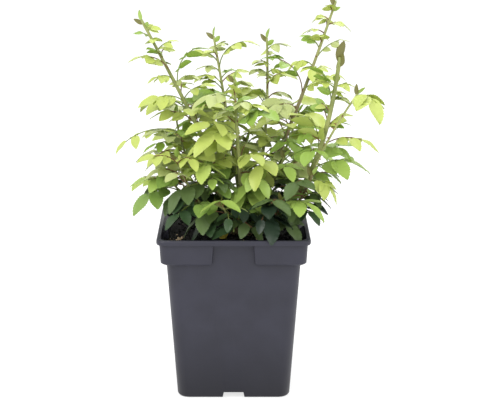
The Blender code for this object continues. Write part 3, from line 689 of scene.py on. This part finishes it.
def limb_shape(shoot, start, end, steps, sides, swell=None):
    shares = [mix(start, end, k / steps) for k in range(steps + 1)]
    points = [axis_point(shoot, share) for share in shares]
    runs = [axis_run(shoot, share) for share in shares]
    return tube(points, runs, [radius_at(shoot, share) for share in shares], sides, None, swell)


def axis_length(shoot):
    points = [axis_point(shoot, k / STEM_STEPS) for k in range(STEM_STEPS + 1)]
    return sum((b - a).length for a, b in zip(points, points[1:]))


def stem_start(shoot):
    """The share at which the mass's stem starts, a gap past the tip of its bough."""
    return shoot.bare + GAP / axis_length(shoot) if shoot.bare else 0.0


# Leaves, by the rule of the solids

Frame = namedtuple("Frame", "base along across normal length width")


def stalk_point(leaf, root, share):
    """The point and direction a share of the way along a leaf's stalk, which arches in one plane."""
    heading, rise, bend = (math.radians(angle) for angle in (leaf.heading, leaf.rise, leaf.bend))
    flat = level(heading)
    here = rise - bend * share
    out = (math.sin(rise) - math.sin(here)) / bend
    lift = (math.cos(here) - math.cos(rise)) / bend
    point = root + (flat * out + UP * lift) * leaf.length * MM
    return point, between(flat, UP, here)


def stalk_axis(leaf, root, share):
    """The point on the straight runs between the stalk's rings, and the direction there."""
    run = min(int(share * STALK_STEPS), STALK_STEPS - 1)
    low, _ = stalk_point(leaf, root, run / STALK_STEPS)
    high, _ = stalk_point(leaf, root, (run + 1) / STALK_STEPS)
    _, along = stalk_point(leaf, root, share)
    return low.lerp(high, share * STALK_STEPS - run), along


def stalk_side(leaf):
    """The level direction to the left of a leaf's stalk."""
    return UP.cross(level(math.radians(leaf.heading)))


def stalk_normal(leaf, share):
    """Which way the upper side of the stalk faces, a share of the way along it."""
    return between(UP, -level(math.radians(leaf.heading)), math.radians(leaf.rise - leaf.bend * share))


def leaflet_frame(point, along, side, turn, droop, roll, length, sink=LEAFLET_SINK):
    """A leaflet's place: turned from the stalk towards side, drooped and rolled, angles in degrees."""
    turn, droop, roll = (math.radians(angle) for angle in (turn, droop, roll))
    normal = along.cross(side)
    ahead = between(along, side, turn)
    run = between(ahead, -normal, droop)
    face = between(normal, ahead, droop)
    across = face.cross(run)
    across, face = between(across, face, roll), between(face, -across, roll)
    width = length * LEAFLET_WIDTH_SHARE * MM
    return Frame(point - run * sink, run, across, face, length * MM + sink, width)


def leaflet_frames(leaf, root, chance):
    """The frames of a leaf's leaflets, pairs first and the end leaflet last."""
    side = stalk_side(leaf)
    frames = []
    places = PAIR_PLACES[leaf.leaflets]
    for number, share in enumerate(places):
        point, along = stalk_axis(leaf, root, share)
        size = PAIR_SIZES[number + len(PAIR_SIZES) - len(places)]
        for hand in (1, -1):
            turn = hand * (PAIR_ANGLE + chance.uniform(*PAIR_TURN))
            droop = chance.uniform(*PAIR_DROOP)
            roll = hand * chance.uniform(*PAIR_ROLL)
            length = leaf.leaflet * size * chance.uniform(*PAIR_LENGTH)
            place = point + along * (hand * PAIR_STAGGER)
            frames.append(leaflet_frame(place, along, side, turn, droop, roll, length))
    point, along = stalk_point(leaf, root, 1.0)
    turn, droop, roll = (chance.uniform(*limits) for limits in (END_TURN, END_DROOP, END_ROLL))
    frames.append(leaflet_frame(point, along, side, turn, droop, roll, leaf.leaflet, END_LEAFLET_SINK))
    return frames


def bud_frames(shoot, chance, spread, size, narrowness):
    """The small folded leaflets round a shoot's tip."""
    tip = axis_point(shoot, 1.0)
    along = (tip - axis_point(shoot, 1.0 - TIP_RUN)).normalized()
    side = along.orthogonal().normalized()
    frames = []
    for number in range(shoot.buds):
        around = math.radians(ANGLE_BETWEEN_LEAVES * number)
        spoke = between(side, along.cross(side), around)
        turn = spread * (number + BUD_FIRST)
        point = axis_point(shoot, 1.0 - BUD_SPACING * number)
        length = size * chance.uniform(*BUD_SIZES)
        roll = chance.uniform(*BUD_ROLL)
        leaflet = leaflet_frame(point, along, spoke, turn, 0, roll, length)
        frames.append(leaflet._replace(width=leaflet.width * narrowness))
    return frames


def place_on(leaflet, ahead, aside, lift):
    return leaflet.base + leaflet.along * ahead + leaflet.across * aside + leaflet.normal * lift


def leaflet_shape(leaflet, margin=0.0):
    """An eight-sided blade: an octahedron drawn out, folded at the midrib and curled to its tip."""
    shape = bmesh.new()
    bmesh.ops.create_uvsphere(shape, u_segments=4, v_segments=2, radius=1.0)
    length = leaflet.length + margin
    half_width = leaflet.width / 2 + margin
    half_thickness = LEAFLET_THICKNESS / 2 + margin
    for vert in shape.verts:
        x, y, z = (round(value) for value in vert.co)
        ahead = {-1: -margin, 0: length * LEAFLET_WIDEST, 1: length}[x]
        lift = abs(y) * half_width * LEAFLET_FOLD - (ahead / length) ** 2 * length * LEAFLET_CURL
        vert.co = place_on(leaflet, ahead, y * half_width, lift + z * half_thickness)
    bmesh.ops.recalc_face_normals(shape, faces=shape.faces)
    return shape


def arch_shape(leaf, root, steps, radii, sides, margin=0.0):
    """A leaf's stalk as a tube, thinner towards its end."""
    shares = [k / steps for k in range(steps + 1)]
    points, runs = zip(*(stalk_point(leaf, root, share) for share in shares))
    radii = [mix(*radii, share) + margin for share in shares]
    return tube(points, runs, radii, sides, stalk_normal(leaf, 0.0))


def stalk_shape(leaf, root, margin=0.0):
    return arch_shape(leaf, root, STALK_STEPS, STALK_RADII, TWIG_SIDES, margin)


def box_of(shape):
    columns = list(zip(*(vert.co for vert in shape.verts)))
    return [min(column) for column in columns], [max(column) for column in columns]


def beyond_reach(shoot, leaflet):
    tip = leaflet.base + leaflet.along * leaflet.length
    stem = [axis_point(shoot, mix(shoot.bare, 1.0, k / STEM_STEPS)) for k in range(STEM_STEPS + 1)]
    return min((tip - point).length for point in stem) > shoot.reach * MM


def fits(room, make_shape, but):
    """Whether a piece stands clear of all others but its own carrier, by the leaf clearance."""
    guard = make_shape(LEAF_CLEARANCE)
    clear = not room.touches(guard, but)
    guard.free()
    return clear


def try_leaf(room, shoot, leaf, chance, carrier):
    """The leaflets of a leaf that have room, or None where its stalk has none."""
    root = axis_point(shoot, leaf.share)
    if not fits(room, lambda margin: stalk_shape(leaf, root, margin), carrier):
        return None
    return [
        leaflet
        for leaflet in leaflet_frames(leaf, root, chance)
        if not beyond_reach(shoot, leaflet)
        and fits(room, lambda margin: leaflet_shape(leaflet, margin), None)
    ]


def stem_name(shoot):
    return f"{shoot.name} stem"


def bough_name(shoot):
    return f"{shoot.name} bough"


def standing_tries(leaf):
    """A standing leaf keeps its heading, or turns a little where something is in its way."""
    return [leaf._replace(heading=leaf.heading + turn) for turn in SIDESTEPS]


def tries_round(shoot, share, heading, count, draw):
    """A leaf at several headings to try in turn, each with what draw says of its other sizes."""
    return [
        Leaf(shoot.name, share, heading + attempt * 360 / count, *draw()) for attempt in range(count)
    ]


def rule_tries(shoot, number):
    """The leaf that the rule puts at a place on the shoot."""
    chance = random.Random(f"{shoot.name} rule {number}")
    share = mix(shoot.first, shoot.last, (number + chance.uniform(*RULE_PLACE)) / shoot.leaves)
    lift = min(1.0, (axis_point(shoot, share).z - SOIL_TOP) / LIFT_HEIGHT)
    heading = ANGLE_BETWEEN_LEAVES * number + chance.uniform(0, 360)

    def draw():
        return (
            mix(*RISES, lift) + chance.uniform(*RULE_RISE),
            shoot.stalk * chance.uniform(*RULE_LENGTH),
            mix(*BENDS, lift) + chance.uniform(*RULE_BEND),
            chance.choice(RULE_LEAFLETS),
            shoot.stalk * mix(*LEAFLET_SHARES, lift) * chance.uniform(*RULE_SIZE),
        )

    return tries_round(shoot, share, heading, LEAF_TRIES, draw)


class Room:
    """What stands already, kept by cells, so that a new twig or leaflet can be tested against it."""

    CELL = 0.03

    def __init__(self):
        self.cells = defaultdict(list)

    def span(self, low, high):
        pairs = [[math.floor(value / self.CELL) for value in pair] for pair in zip(low, high)]
        return itertools.product(*(range(first, last + 1) for first, last in pairs))

    def add(self, owner, shape):
        low, high = box_of(shape)
        piece = (owner, low, high, BVHTree.FromBMesh(shape))
        for cell in self.span(low, high):
            self.cells[cell].append(piece)

    def touches(self, shape, but):
        low, high = box_of(shape)
        tree = BVHTree.FromBMesh(shape)
        near = {id(piece): piece for cell in self.span(low, high) for piece in self.cells.get(cell, ())}
        return any(
            owner != but
            and all(high[k] >= other_low[k] and low[k] <= other_high[k] for k in range(3))
            and tree.overlap(other)
            for owner, other_low, other_high, other in near.values()
        )


Grown = namedtuple("Grown", "shoot leaf root frames")


def grow_leaf(room, shoot, tries, carrier, grown):
    """Grows the first of several tries that loses no leaflet, or else the one that keeps most."""
    best = None
    for number, leaf in enumerate(tries):
        chance = random.Random(f"{leaf.shoot} {leaf.share:.3f} {number}")
        frames = try_leaf(room, shoot, leaf, chance, carrier)
        if frames and (best is None or len(frames) > len(best[1])):
            best = (leaf, frames)
        if frames and len(frames) == leaf.leaflets:
            break
    if best is None or len(best[1]) < FEWEST_LEAFLETS:
        return
    leaf, frames = best
    root = axis_point(shoot, leaf.share)
    room.add("leaf", stalk_shape(leaf, root))
    for leaflet in frames:
        room.add("leaf", leaflet_shape(leaflet))
    grown.append(Grown(shoot, leaf, root, frames))


def filler_tries(shoot, number, count):
    """The filler leaf at a place between the solids' leaves."""
    chance = random.Random(f"{shoot.name} filler {number}")
    share = mix(FILLER_FIRST, FILLER_LAST, (number + chance.random()) / count)
    if shoot.tip[2] > LOW_TIP:
        share = mix(FILLER_FIRST * shoot.bare, shoot.last, (number + chance.random()) / count)
    lift = min(1.0, max(0.0, axis_point(shoot, share).z - SOIL_TOP) / LIFT_HEIGHT)
    heading = chance.uniform(0, 360)

    def draw():
        stalk = shoot.stalk * chance.uniform(*FILLER_STALK)
        return (
            mix(*RISES, lift) + chance.uniform(*RULE_RISE),
            stalk,
            mix(*BENDS, lift) + chance.uniform(*RULE_BEND),
            chance.choice(FILLER_LEAFLETS),
            shoot.stalk * LEAFLET_SHARES[1] * chance.uniform(*FILLER_LEAFLET),
        )

    return tries_round(shoot, share, heading, FILLER_TRIES, draw)


def tip_tries(shoot, number):
    """A young leaf near the shoot's tip, smaller the higher it stands."""
    chance = random.Random(f"{shoot.name} tip {number}")
    place = (number + chance.random()) / TIP_LEAVES
    heading = ANGLE_BETWEEN_LEAVES * number + chance.uniform(0, 360)

    def draw():
        return (
            chance.uniform(*TIP_RISE),
            mix(*TIP_STALK, place),
            chance.uniform(*TIP_BEND),
            chance.choice(FILLER_LEAFLETS),
            mix(*TIP_LEAFLET, place),
        )

    return tries_round(shoot, mix(*TIP_PLACES, place), heading, FILLER_TRIES, draw)


def all_tries():
    """Each leaf as its shoot and its tries: those of the solids in their order, then the fillers."""
    shoots = {shoot.name: shoot for shoot in ALL_SHOOTS}
    for name, leaves in STANDING_LEAVES.items():
        for leaf in leaves:
            yield shoots[name], standing_tries(Leaf(name, *leaf))
    for shoot in ALL_SHOOTS:
        for number in range(shoot.leaves):
            yield shoot, rule_tries(shoot, number)
    for shoot in ALL_SHOOTS:
        for number in range(TIP_LEAVES if shoot.tip[2] > TIP_HEIGHT else 0):
            yield shoot, tip_tries(shoot, number)
    for shoot in SHOOTS:
        count = LOW_FILLERS if shoot.tip[2] < LOW_TIP else FILLERS
        for number in range(count):
            tries = filler_tries(shoot, number, count)
            if axis_point(shoot, tries[0].share).z > FILLER_LOWEST:
                yield shoot, tries


def grow_all():
    """All leaves that find room among the solids and each other."""
    room = Room()
    for name in ("pot", "potting_soil", "bud_union"):
        shape = bmesh.new()
        shape.from_mesh(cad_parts[name].data)
        room.add(name, shape)
        shape.free()
    for shoot in SHOOTS:
        room.add(bough_name(shoot), limb_shape(shoot, 0.0, shoot.bare, BOUGH_STEPS, BOUGH_SIDES))
    for shoot in ALL_SHOOTS:
        room.add(stem_name(shoot), limb_shape(shoot, stem_start(shoot), 1.0, STEM_STEPS, STEM_SIDES))
    buds = [
        leaflet
        for shoot in ALL_SHOOTS
        for leaflet in bud_frames(shoot, random.Random(f"{shoot.name} buds"), *SOLID_BUD)
        if fits(room, lambda margin: leaflet_shape(leaflet, margin), stem_name(shoot))
    ]
    for leaflet in buds:
        room.add("bud", leaflet_shape(leaflet))
    grown = []
    for shoot, tries in all_tries():
        carrier = stem_name(shoot) if tries[0].share > shoot.bare else bough_name(shoot)
        grow_leaf(room, shoot, tries, carrier, grown)
    return grown


# Fine leaves

def blade(leaflet, chance):
    """A toothed blade with a folded midrib, its points and faces, inside the solid's leaflet."""
    length, half_width = leaflet.length, leaflet.width / 2
    wave = chance.uniform(0, math.tau)
    peak = BLADE_ROUND / (BLADE_ROUND + BLADE_POINT)
    top = peak**BLADE_ROUND * (1 - peak) ** BLADE_POINT

    def point(share, aside):
        lift = abs(aside) * half_width * LEAFLET_FOLD - share**2 * length * LEAFLET_CURL
        lift += math.sin(wave + share * BLADE_WAVE_RATE) * half_width * BLADE_WAVE * abs(aside)
        return place_on(leaflet, share * length, aside * half_width, lift)

    def width(share):
        return share**BLADE_ROUND * (1 - share) ** BLADE_POINT / top

    shares = [k / BLADE_STATIONS for k in range(BLADE_STATIONS + 1)]
    points = [point(share, 0.0) for share in shares]
    faces = []
    for hand in (1, -1):
        mids, notches, teeth = [], [], []
        for k, share in enumerate(shares):
            mids.append(len(points))
            raised = point(share, hand * width(share) * BLADE_MID)
            points.append(raised + leaflet.normal * (half_width * BLADE_VEIN * (1 if k % 2 else -1)))
            notches.append(len(points))
            points.append(point(share, hand * width(share)))
        for k in range(BLADE_STATIONS):
            share = (k + BLADE_TOOTH_PLACE) / BLADE_STATIONS
            teeth.append(len(points))
            points.append(point(share, hand * (width(share) + BLADE_TOOTH)))
        for k in range(BLADE_STATIONS):
            inner = (k, k + 1, mids[k + 1], mids[k])
            outer = (mids[k], mids[k + 1], notches[k + 1], teeth[k], notches[k])
            faces += [face if hand < 0 else face[::-1] for face in (inner, outer)]
    return points, faces


def tone_of(frames, chance):
    """The tone of a spray: darker at the foot, partly with age and partly as painted shade, darker at the
    front as painted shade, now and then a painted sheen, yellow-green at its tips.
    """
    # Painted shade: sprays towards the front count as lower, so they get darker tones
    heights = [leaflet.base.z + min(0.0, leaflet.base.y) * FRONT_PAINTED_SHADE for leaflet in frames]
    height = sum(heights) / len(heights)
    # Painted sheen: some higher sprays take the pale tone in place of the shine of light on them
    if height > PAINTED_SHEEN_LOWEST and chance.random() < PAINTED_SHEEN_SHARE:
        return PAINTED_SHEEN_TONE[0]
    if height > GRASS_LOWEST and chance.random() < GRASS_SHARE:
        return GRASS_TONE[0]
    place = (height - SHADE_FOOT) / (SHADE_TOP - SHADE_FOOT) + chance.uniform(-SHADE_STRAY, SHADE_STRAY)
    return TONES[min(len(TONES) - 1, max(0, int(place * len(TONES))))][0]


def make_leaves(grown):
    """One piece for each tone, and one for each colour of leaf stalk."""
    sheaves = defaultdict(Sheaf)
    stalks = {tint: Sheaf() for tint, _ in STALK_TINTS}
    for number, (shoot, leaf, root, frames) in enumerate(grown):
        chance = random.Random(f"{leaf.shoot} {leaf.share:.3f} looks {number}")
        tone = tone_of(frames, chance)
        for leaflet in frames:
            sheaves[tone].add(*blade(leaflet, chance))
        petiole = arch_shape(leaf, root, PETIOLE_STEPS, PETIOLE_RADII, PETIOLE_SIDES)
        stalks["red" if chance.random() < RED_STALK_SHARE else "green"].add_shape(petiole)
    for shoot in ALL_SHOOTS:
        chance = random.Random(f"{shoot.name} buds")
        fat = shoot.name == FAT_BUD_SHOOT
        looks = FAT_BUD if fat else OPEN_BUD
        for number, leaflet in enumerate(bud_frames(shoot, chance, *looks)):
            tone = "bud" if fat or number % 2 else "fresh"
            sheaves[tone].add(*blade(leaflet, chance))
    along = FALLEN_ALONG.normalized()
    fallen = leaflet_frame(FALLEN_PLACE, along, FALLEN_SIDE, 0, 0, FALLEN_ROLL, FALLEN_LENGTH)
    sheaves["yellow"].add(*blade(fallen, random.Random("fallen")))
    colours = dict(TONES + (PAINTED_SHEEN_TONE, GRASS_TONE, BUD_TONE, YELLOW_TONE))
    nodes = nodes_ending("_foliage")
    for tone, sheaf in sheaves.items():
        piece = sheaf.build(f"leaves_{tone}", leaf_material(tone, colours[tone]))
        finish_piece(piece, nodes)
    for tint, colour in STALK_TINTS:
        piece = stalks[tint].build(f"leaf_stalks_{tint}", leaf_material(f"stalk_{tint}", colour))
        finish_piece(piece, nodes)


# Canes and the bud union

def cane_shape(shoot):
    """One tapering cane from foot to tip, slightly ridged, with a swelling at each node."""
    turn = random.Random(f"{shoot.name} cane").uniform(0, math.tau)

    def swell(station, angle):
        share = station / CANE_STEPS
        node = max(0.0, math.cos(math.tau * CANE_NODES * share + turn)) ** CANE_NODE_SHARPNESS
        ridge = math.sin(CANE_RIDGES * angle + turn + share * CANE_TWIST)
        return 1 + node * CANE_NODE_SWELL + ridge * CANE_RIDGE

    return limb_shape(shoot, 0.0, 1.0, CANE_STEPS, CANE_SIDES, swell)


def thorn_shape(shoot, share, heading):
    """A small hooked cone on a cane."""
    along = axis_run(shoot, share)
    side = along.orthogonal().normalized()
    out = between(side, along.cross(side), heading)
    root = axis_point(shoot, share) + out * (radius_at(shoot, share) * THORN_ROOT)
    points, runs, radii = [], [], []
    for reach, drop, lean, girth in THORN_STATIONS:
        points.append(root + out * (THORN_LENGTH * reach) - along * (THORN_LENGTH * drop))
        runs.append((out - along * lean).normalized())
        radii.append(THORN_BASE * girth)
    return tube(points, runs, radii, THORN_SIDES, along)


def make_canes():
    """One piece for the green canes, one for the brown ones and one for all the thorns."""
    green, brown, thorns = Sheaf(), Sheaf(), Sheaf()
    for shoot in ALL_SHOOTS:
        chance = random.Random(f"{shoot.name} thorns")
        (brown if shoot.name in BROWN_CANES else green).add_shape(cane_shape(shoot))
        for number in range(THORNS_PER_CANE):
            share = mix(*THORN_PLACES, (number + chance.random()) / THORNS_PER_CANE)
            thorns.add_shape(thorn_shape(shoot, share, chance.uniform(0, math.tau)))
    boughs = nodes_ending("_bough")
    for sheaf, name, material, nodes in (
        (green, "canes_green", mottled_material("cane_green", GREEN_BARK), boughs),
        (brown, "canes_brown", mottled_material("cane_brown", BROWN_BARK, BARK_GREENS), boughs),
        (thorns, "thorns", mottled_material("thorns", THORN_HORN), ()),
    ):
        finish_piece(sheaf.build(name, material), nodes)


def make_union():
    """The knobbly bud union, finer than its solid and within a millimetre or two of it."""
    heights = [height * MM for height, _ in UNION_PROFILE_MM]
    radii = [radius * MM for _, radius in UNION_PROFILE_MM]
    rings = []
    for k in range(UNION_STEPS + 1):
        height = heights[-1] * k / UNION_STEPS
        place = max(n for n in range(len(heights) - 1) if heights[n] <= height)
        share = (height - heights[place]) / (heights[place + 1] - heights[place])
        radius = mix(radii[place], radii[place + 1], ease(share))
        flare = max(0.0, 1 - height / ROOT_FLARE_HEIGHT) * ROOT_FLARE_DEPTH
        centre = UNION_CENTRE + UP * (SOIL_TOP + GAP + height) + Vector((UNION_LEAN * height, 0, 0))
        ring = []
        for side in range(UNION_SIDES):
            angle = math.tau * side / UNION_SIDES
            out = level(angle)
            knob = noise.noise((centre + out * radius) * UNION_KNOB_SCALE) * UNION_KNOB_DEPTH
            ring.append(centre + out * (radius + flare * math.cos(ROOT_FLARES * angle) + knob))
        rings.append(ring)
    piece = object_from("union", loft(rings), mottled_material("union_bark", UNION_BARK))
    piece.data.shade_smooth()
    finish_piece(piece, ["bud_union"])


# Pot and soil

def body_half(z):
    """Half width of the pot's body at a height; the side panels follow it up through the collar."""
    return mix(BASE_HALF, BODY_TOP_HALF, z / COLLAR_FOOT)


def up_collar(low, high, z):
    """What low at the collar's foot and high at its top come to at a height."""
    return mix(low, high, (z - COLLAR_FOOT) / COLLAR_HEIGHT)


def collar_half(z):
    return up_collar(COLLAR_FOOT_HALF, COLLAR_TOP_HALF, z)


def pot_ring(z, half, corner, panel, recess=0.0):
    """A rounded square, anticlockwise, whose middle stretch on each side may step in by recess."""
    ring = []
    for side in range(4):
        out = level(math.radians(90 * side))
        across = UP.cross(out)
        for place, depth in (
            (-panel - PANEL_STEP_WIDTH, 0.0),
            (-panel + PANEL_STEP_WIDTH, recess),
            (panel - PANEL_STEP_WIDTH, recess),
            (panel + PANEL_STEP_WIDTH, 0.0),
        ):
            ring.append(out * (half - depth) + across * place + UP * z)
        centre = (out + across) * (half - corner) + UP * z
        for step in range(CORNER_STEPS + 1):
            ring.append(centre + between(out, across, math.radians(90 * step / CORNER_STEPS)) * corner)
    return ring


def collar_ring(z, inset=0.0):
    """A ring of the collar, with the side panels flush with the body below."""
    half = collar_half(z)
    panel = up_collar(PANEL_FOOT_HALF, PANEL_TOP_HALF, z)
    return pot_ring(z, half - inset, RIM_CORNER, panel + inset, half - body_half(z))


def body_ring(z, inset=0.0):
    return pot_ring(z, body_half(z) - inset, BODY_CORNER, PANEL_FOOT_HALF + inset)


def outer_rings():
    foot_step = BASE_ROUND * ROUND_START
    collar_foot = COLLAR_FOOT_HALF - COLLAR_FOOT_ROUND
    recess = collar_foot - body_half(COLLAR_FOOT)
    lip_foot = POT_HEIGHT - LIP_HEIGHT
    lip_rings = (
        (lip_foot, LIP_ROUND * ROUND_START),
        (lip_foot + LIP_ROUND, 0.0),
        (POT_HEIGHT - LIP_ROUND, 0.0),
        (POT_HEIGHT, LIP_ROUND * ROUND_END),
    )
    return [
        pot_ring(0, BASE_HALF - BASE_ROUND, BODY_CORNER - BASE_ROUND, PANEL_FOOT_HALF),
        pot_ring(foot_step, BASE_HALF - foot_step, BODY_CORNER, PANEL_FOOT_HALF),
        body_ring(BASE_ROUND),
        body_ring(COLLAR_FOOT - PANEL_STEP_WIDTH),
        pot_ring(COLLAR_FOOT, collar_foot, RIM_CORNER, PANEL_FOOT_HALF, recess),
        collar_ring(COLLAR_FOOT + COLLAR_FOOT_ROUND),
        collar_ring(lip_foot - PANEL_STEP_WIDTH),
    ] + [pot_ring(z, RIM_HALF - inset, RIM_CORNER, PANEL_TOP_HALF) for z, inset in lip_rings]


def inner_rings():
    """The rings inside the pot, a wall's thickness in from the outside, from its floor up to its lip."""
    ledge = COLLAR_FOOT + POT_WALL
    return [
        body_ring(POT_FLOOR, POT_WALL),
        body_ring(ledge - PANEL_STEP_WIDTH, POT_WALL),
        collar_ring(ledge + COLLAR_FOOT_ROUND, POT_WALL),
        collar_ring(SOIL_TOP, POT_WALL),
        collar_ring(POT_HEIGHT - LIP_HEIGHT, POT_WALL),
    ]


def tunnel_shape(grow):
    """A trapezium bar that runs in along -Y from the wall at +Y, its foot under the pot's underside."""
    shape = bmesh.new()
    bmesh.ops.create_cube(shape, size=1.0)
    far = BASE_HALF - TUNNEL_DEPTH - grow
    near = BASE_HALF - POT_WALL / 2 if grow else BASE_HALF + BASE_ROUND
    for vert in shape.verts:
        upper = vert.co.z > 0
        width = (TUNNEL_TOP_WIDTH if upper else TUNNEL_FOOT_WIDTH) / 2 + grow
        vert.co.x = math.copysign(width, vert.co.x)
        vert.co.y = near if vert.co.y > 0 else far
        vert.co.z = TUNNEL_HEIGHT + grow if upper else (POT_FLOOR / 2 if grow else -POT_FLOOR)
    return shape


def drain_shape():
    shape = bmesh.new()
    bmesh.ops.create_cone(
        shape,
        cap_ends=True,
        segments=DRAIN_SIDES,
        radius1=DRAIN_RADIUS,
        radius2=DRAIN_RADIUS,
        depth=POT_FLOOR * 4,
    )
    bmesh.ops.translate(shape, verts=shape.verts, vec=Vector((DRAIN_PLACE, DRAIN_PLACE, POT_FLOOR / 2)))
    return shape


def make_pot():
    """The pot of the solids again, with round corners, a rolled lip and softened edges."""
    mouth = pot_ring(POT_HEIGHT, collar_half(POT_HEIGHT) - POT_WALL, RIM_CORNER, PANEL_TOP_HALF)
    rings = outer_rings() + [mouth] + inner_rings()[::-1]
    pot = object_from("pot_shell", loft(rings), plastic_material())
    helpers = []
    for name, make_shape, operation in (
        ("roof", lambda: tunnel_shape(TUNNEL_WALL), "UNION"),
        ("tunnel", lambda: tunnel_shape(0.0), "DIFFERENCE"),
        ("drain", drain_shape, "DIFFERENCE"),
    ):
        for side in range(4):
            helper = object_from(f"{name}_{side}", make_shape(), pot.data.materials[0])
            helper.rotation_euler.z = math.radians(90 * side)
            modifier = pot.modifiers.new(helper.name, "BOOLEAN")
            modifier.operation = operation
            modifier.object = helper
            modifier.solver = "EXACT"
            helpers.append(helper)
    bpy.context.view_layer.update()
    graph = bpy.context.evaluated_depsgraph_get()
    made = bpy.data.meshes.new_from_object(pot.evaluated_get(graph))
    pot.modifiers.clear()
    pot.data = made
    for helper in helpers:
        bpy.data.objects.remove(helper, do_unlink=True)
    pot.data.shade_smooth()
    pot.data.set_sharp_from_angle(angle=math.radians(POT_CREASE))
    finish_piece(pot, ["pot"])


def under_panel(x, y):
    """Whether a place is where the pot's side panels step in over the edge of the soil."""
    near, far = sorted((abs(x), abs(y)))
    return near < TUNNEL_FOOT_WIDTH and far > SOIL_PLAIN_HALF


def crumb_shape(place, size, chance):
    shape = bmesh.new()
    bmesh.ops.create_icosphere(shape, subdivisions=1, radius=1.0)
    for vert in shape.verts:
        vert.co = place + vert.co * size * chance.uniform(*LITTER_LUMPS)
    return shape


def make_soil():
    """Crumbs and tan specks over the soil's solid, which stays, in a rough dark material."""
    earth = mottled_material("soil_earth", EARTH)
    looks = {"earth": earth, "tan": mottled_material("soil_specks", TAN_FIBRE)}
    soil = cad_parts["potting_soil"]
    soil.data.materials.clear()
    soil.data.materials.append(earth)
    chance = random.Random("crumbs")
    for litter in LITTER:
        sheaf = Sheaf()
        for _ in range(litter.count):
            x, y = (middle + chance.uniform(-litter.spread, litter.spread) for middle in litter.centre)
            if under_panel(x, y):
                continue
            size = chance.uniform(*litter.sizes)
            place = Vector((x, y, SOIL_TOP + chance.uniform(*LITTER_RISE) * size))
            sheaf.add_shape(crumb_shape(place, size, chance))
        finish_piece(sheaf.build(litter.name, looks[litter.look]), ())


# Floor, lights and camera

def make_floor():
    shape = bmesh.new()
    bmesh.ops.create_grid(shape, x_segments=1, y_segments=1, size=FLOOR_SIZE)
    paper, shader = new_material("floor_paper", (PAPER_TINT,) * 3, PAPER_ROUGHNESS)
    set_inputs(shader, {"Emission Color": WHITE, "Emission Strength": PAPER_GLOW})
    object_from("floor", shape, paper)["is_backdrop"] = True


def make_lights():
    """A white sky and three lamps."""
    world = bpy.data.worlds.new("studio")
    bpy.context.scene.world = world
    bpy.context.scene.view_settings.view_transform = "Standard"
    world.use_nodes = True
    set_inputs(world.node_tree.nodes["Background"], {"Color": WHITE, "Strength": 1.0})
    for name, place, size, power in LIGHTS:
        light = bpy.data.lights.new(name, "AREA")
        light.size = size
        light.energy = power
        lamp = bpy.data.objects.new(name, light)
        lamp.location = place
        lamp.rotation_euler = (LIGHT_AIM - Vector(place)).to_track_quat("-Z", "Y").to_euler()
        bpy.context.scene.collection.objects.link(lamp)


def make_camera():
    camera = bpy.data.cameras.new("camera")
    camera.lens = CAMERA_LENS
    camera.sensor_width = CAMERA_SENSOR
    camera.shift_x = (IMAGE_WIDTH / 2 - POT_CENTRE_PIXEL) / IMAGE_WIDTH
    viewer = bpy.data.objects.new("camera", camera)
    viewer.location = CAMERA_PLACE
    viewer.rotation_euler = (math.radians(CAMERA_TILT), 0, 0)
    bpy.context.scene.collection.objects.link(viewer)
    bpy.context.scene.camera = viewer


def write_sizes():
    """Works out the CAD box and the visual model's box as plain lists, which are not kept."""
    boxes = {"cad": cad_box, "visual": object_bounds()}
    plain = {name: [[float(value) for value in corner] for corner in box] for name, box in boxes.items()}


make_floor()
make_lights()
make_camera()
make_pot()
make_soil()
make_union()
make_canes()
make_leaves(grow_all())
write_sizes()
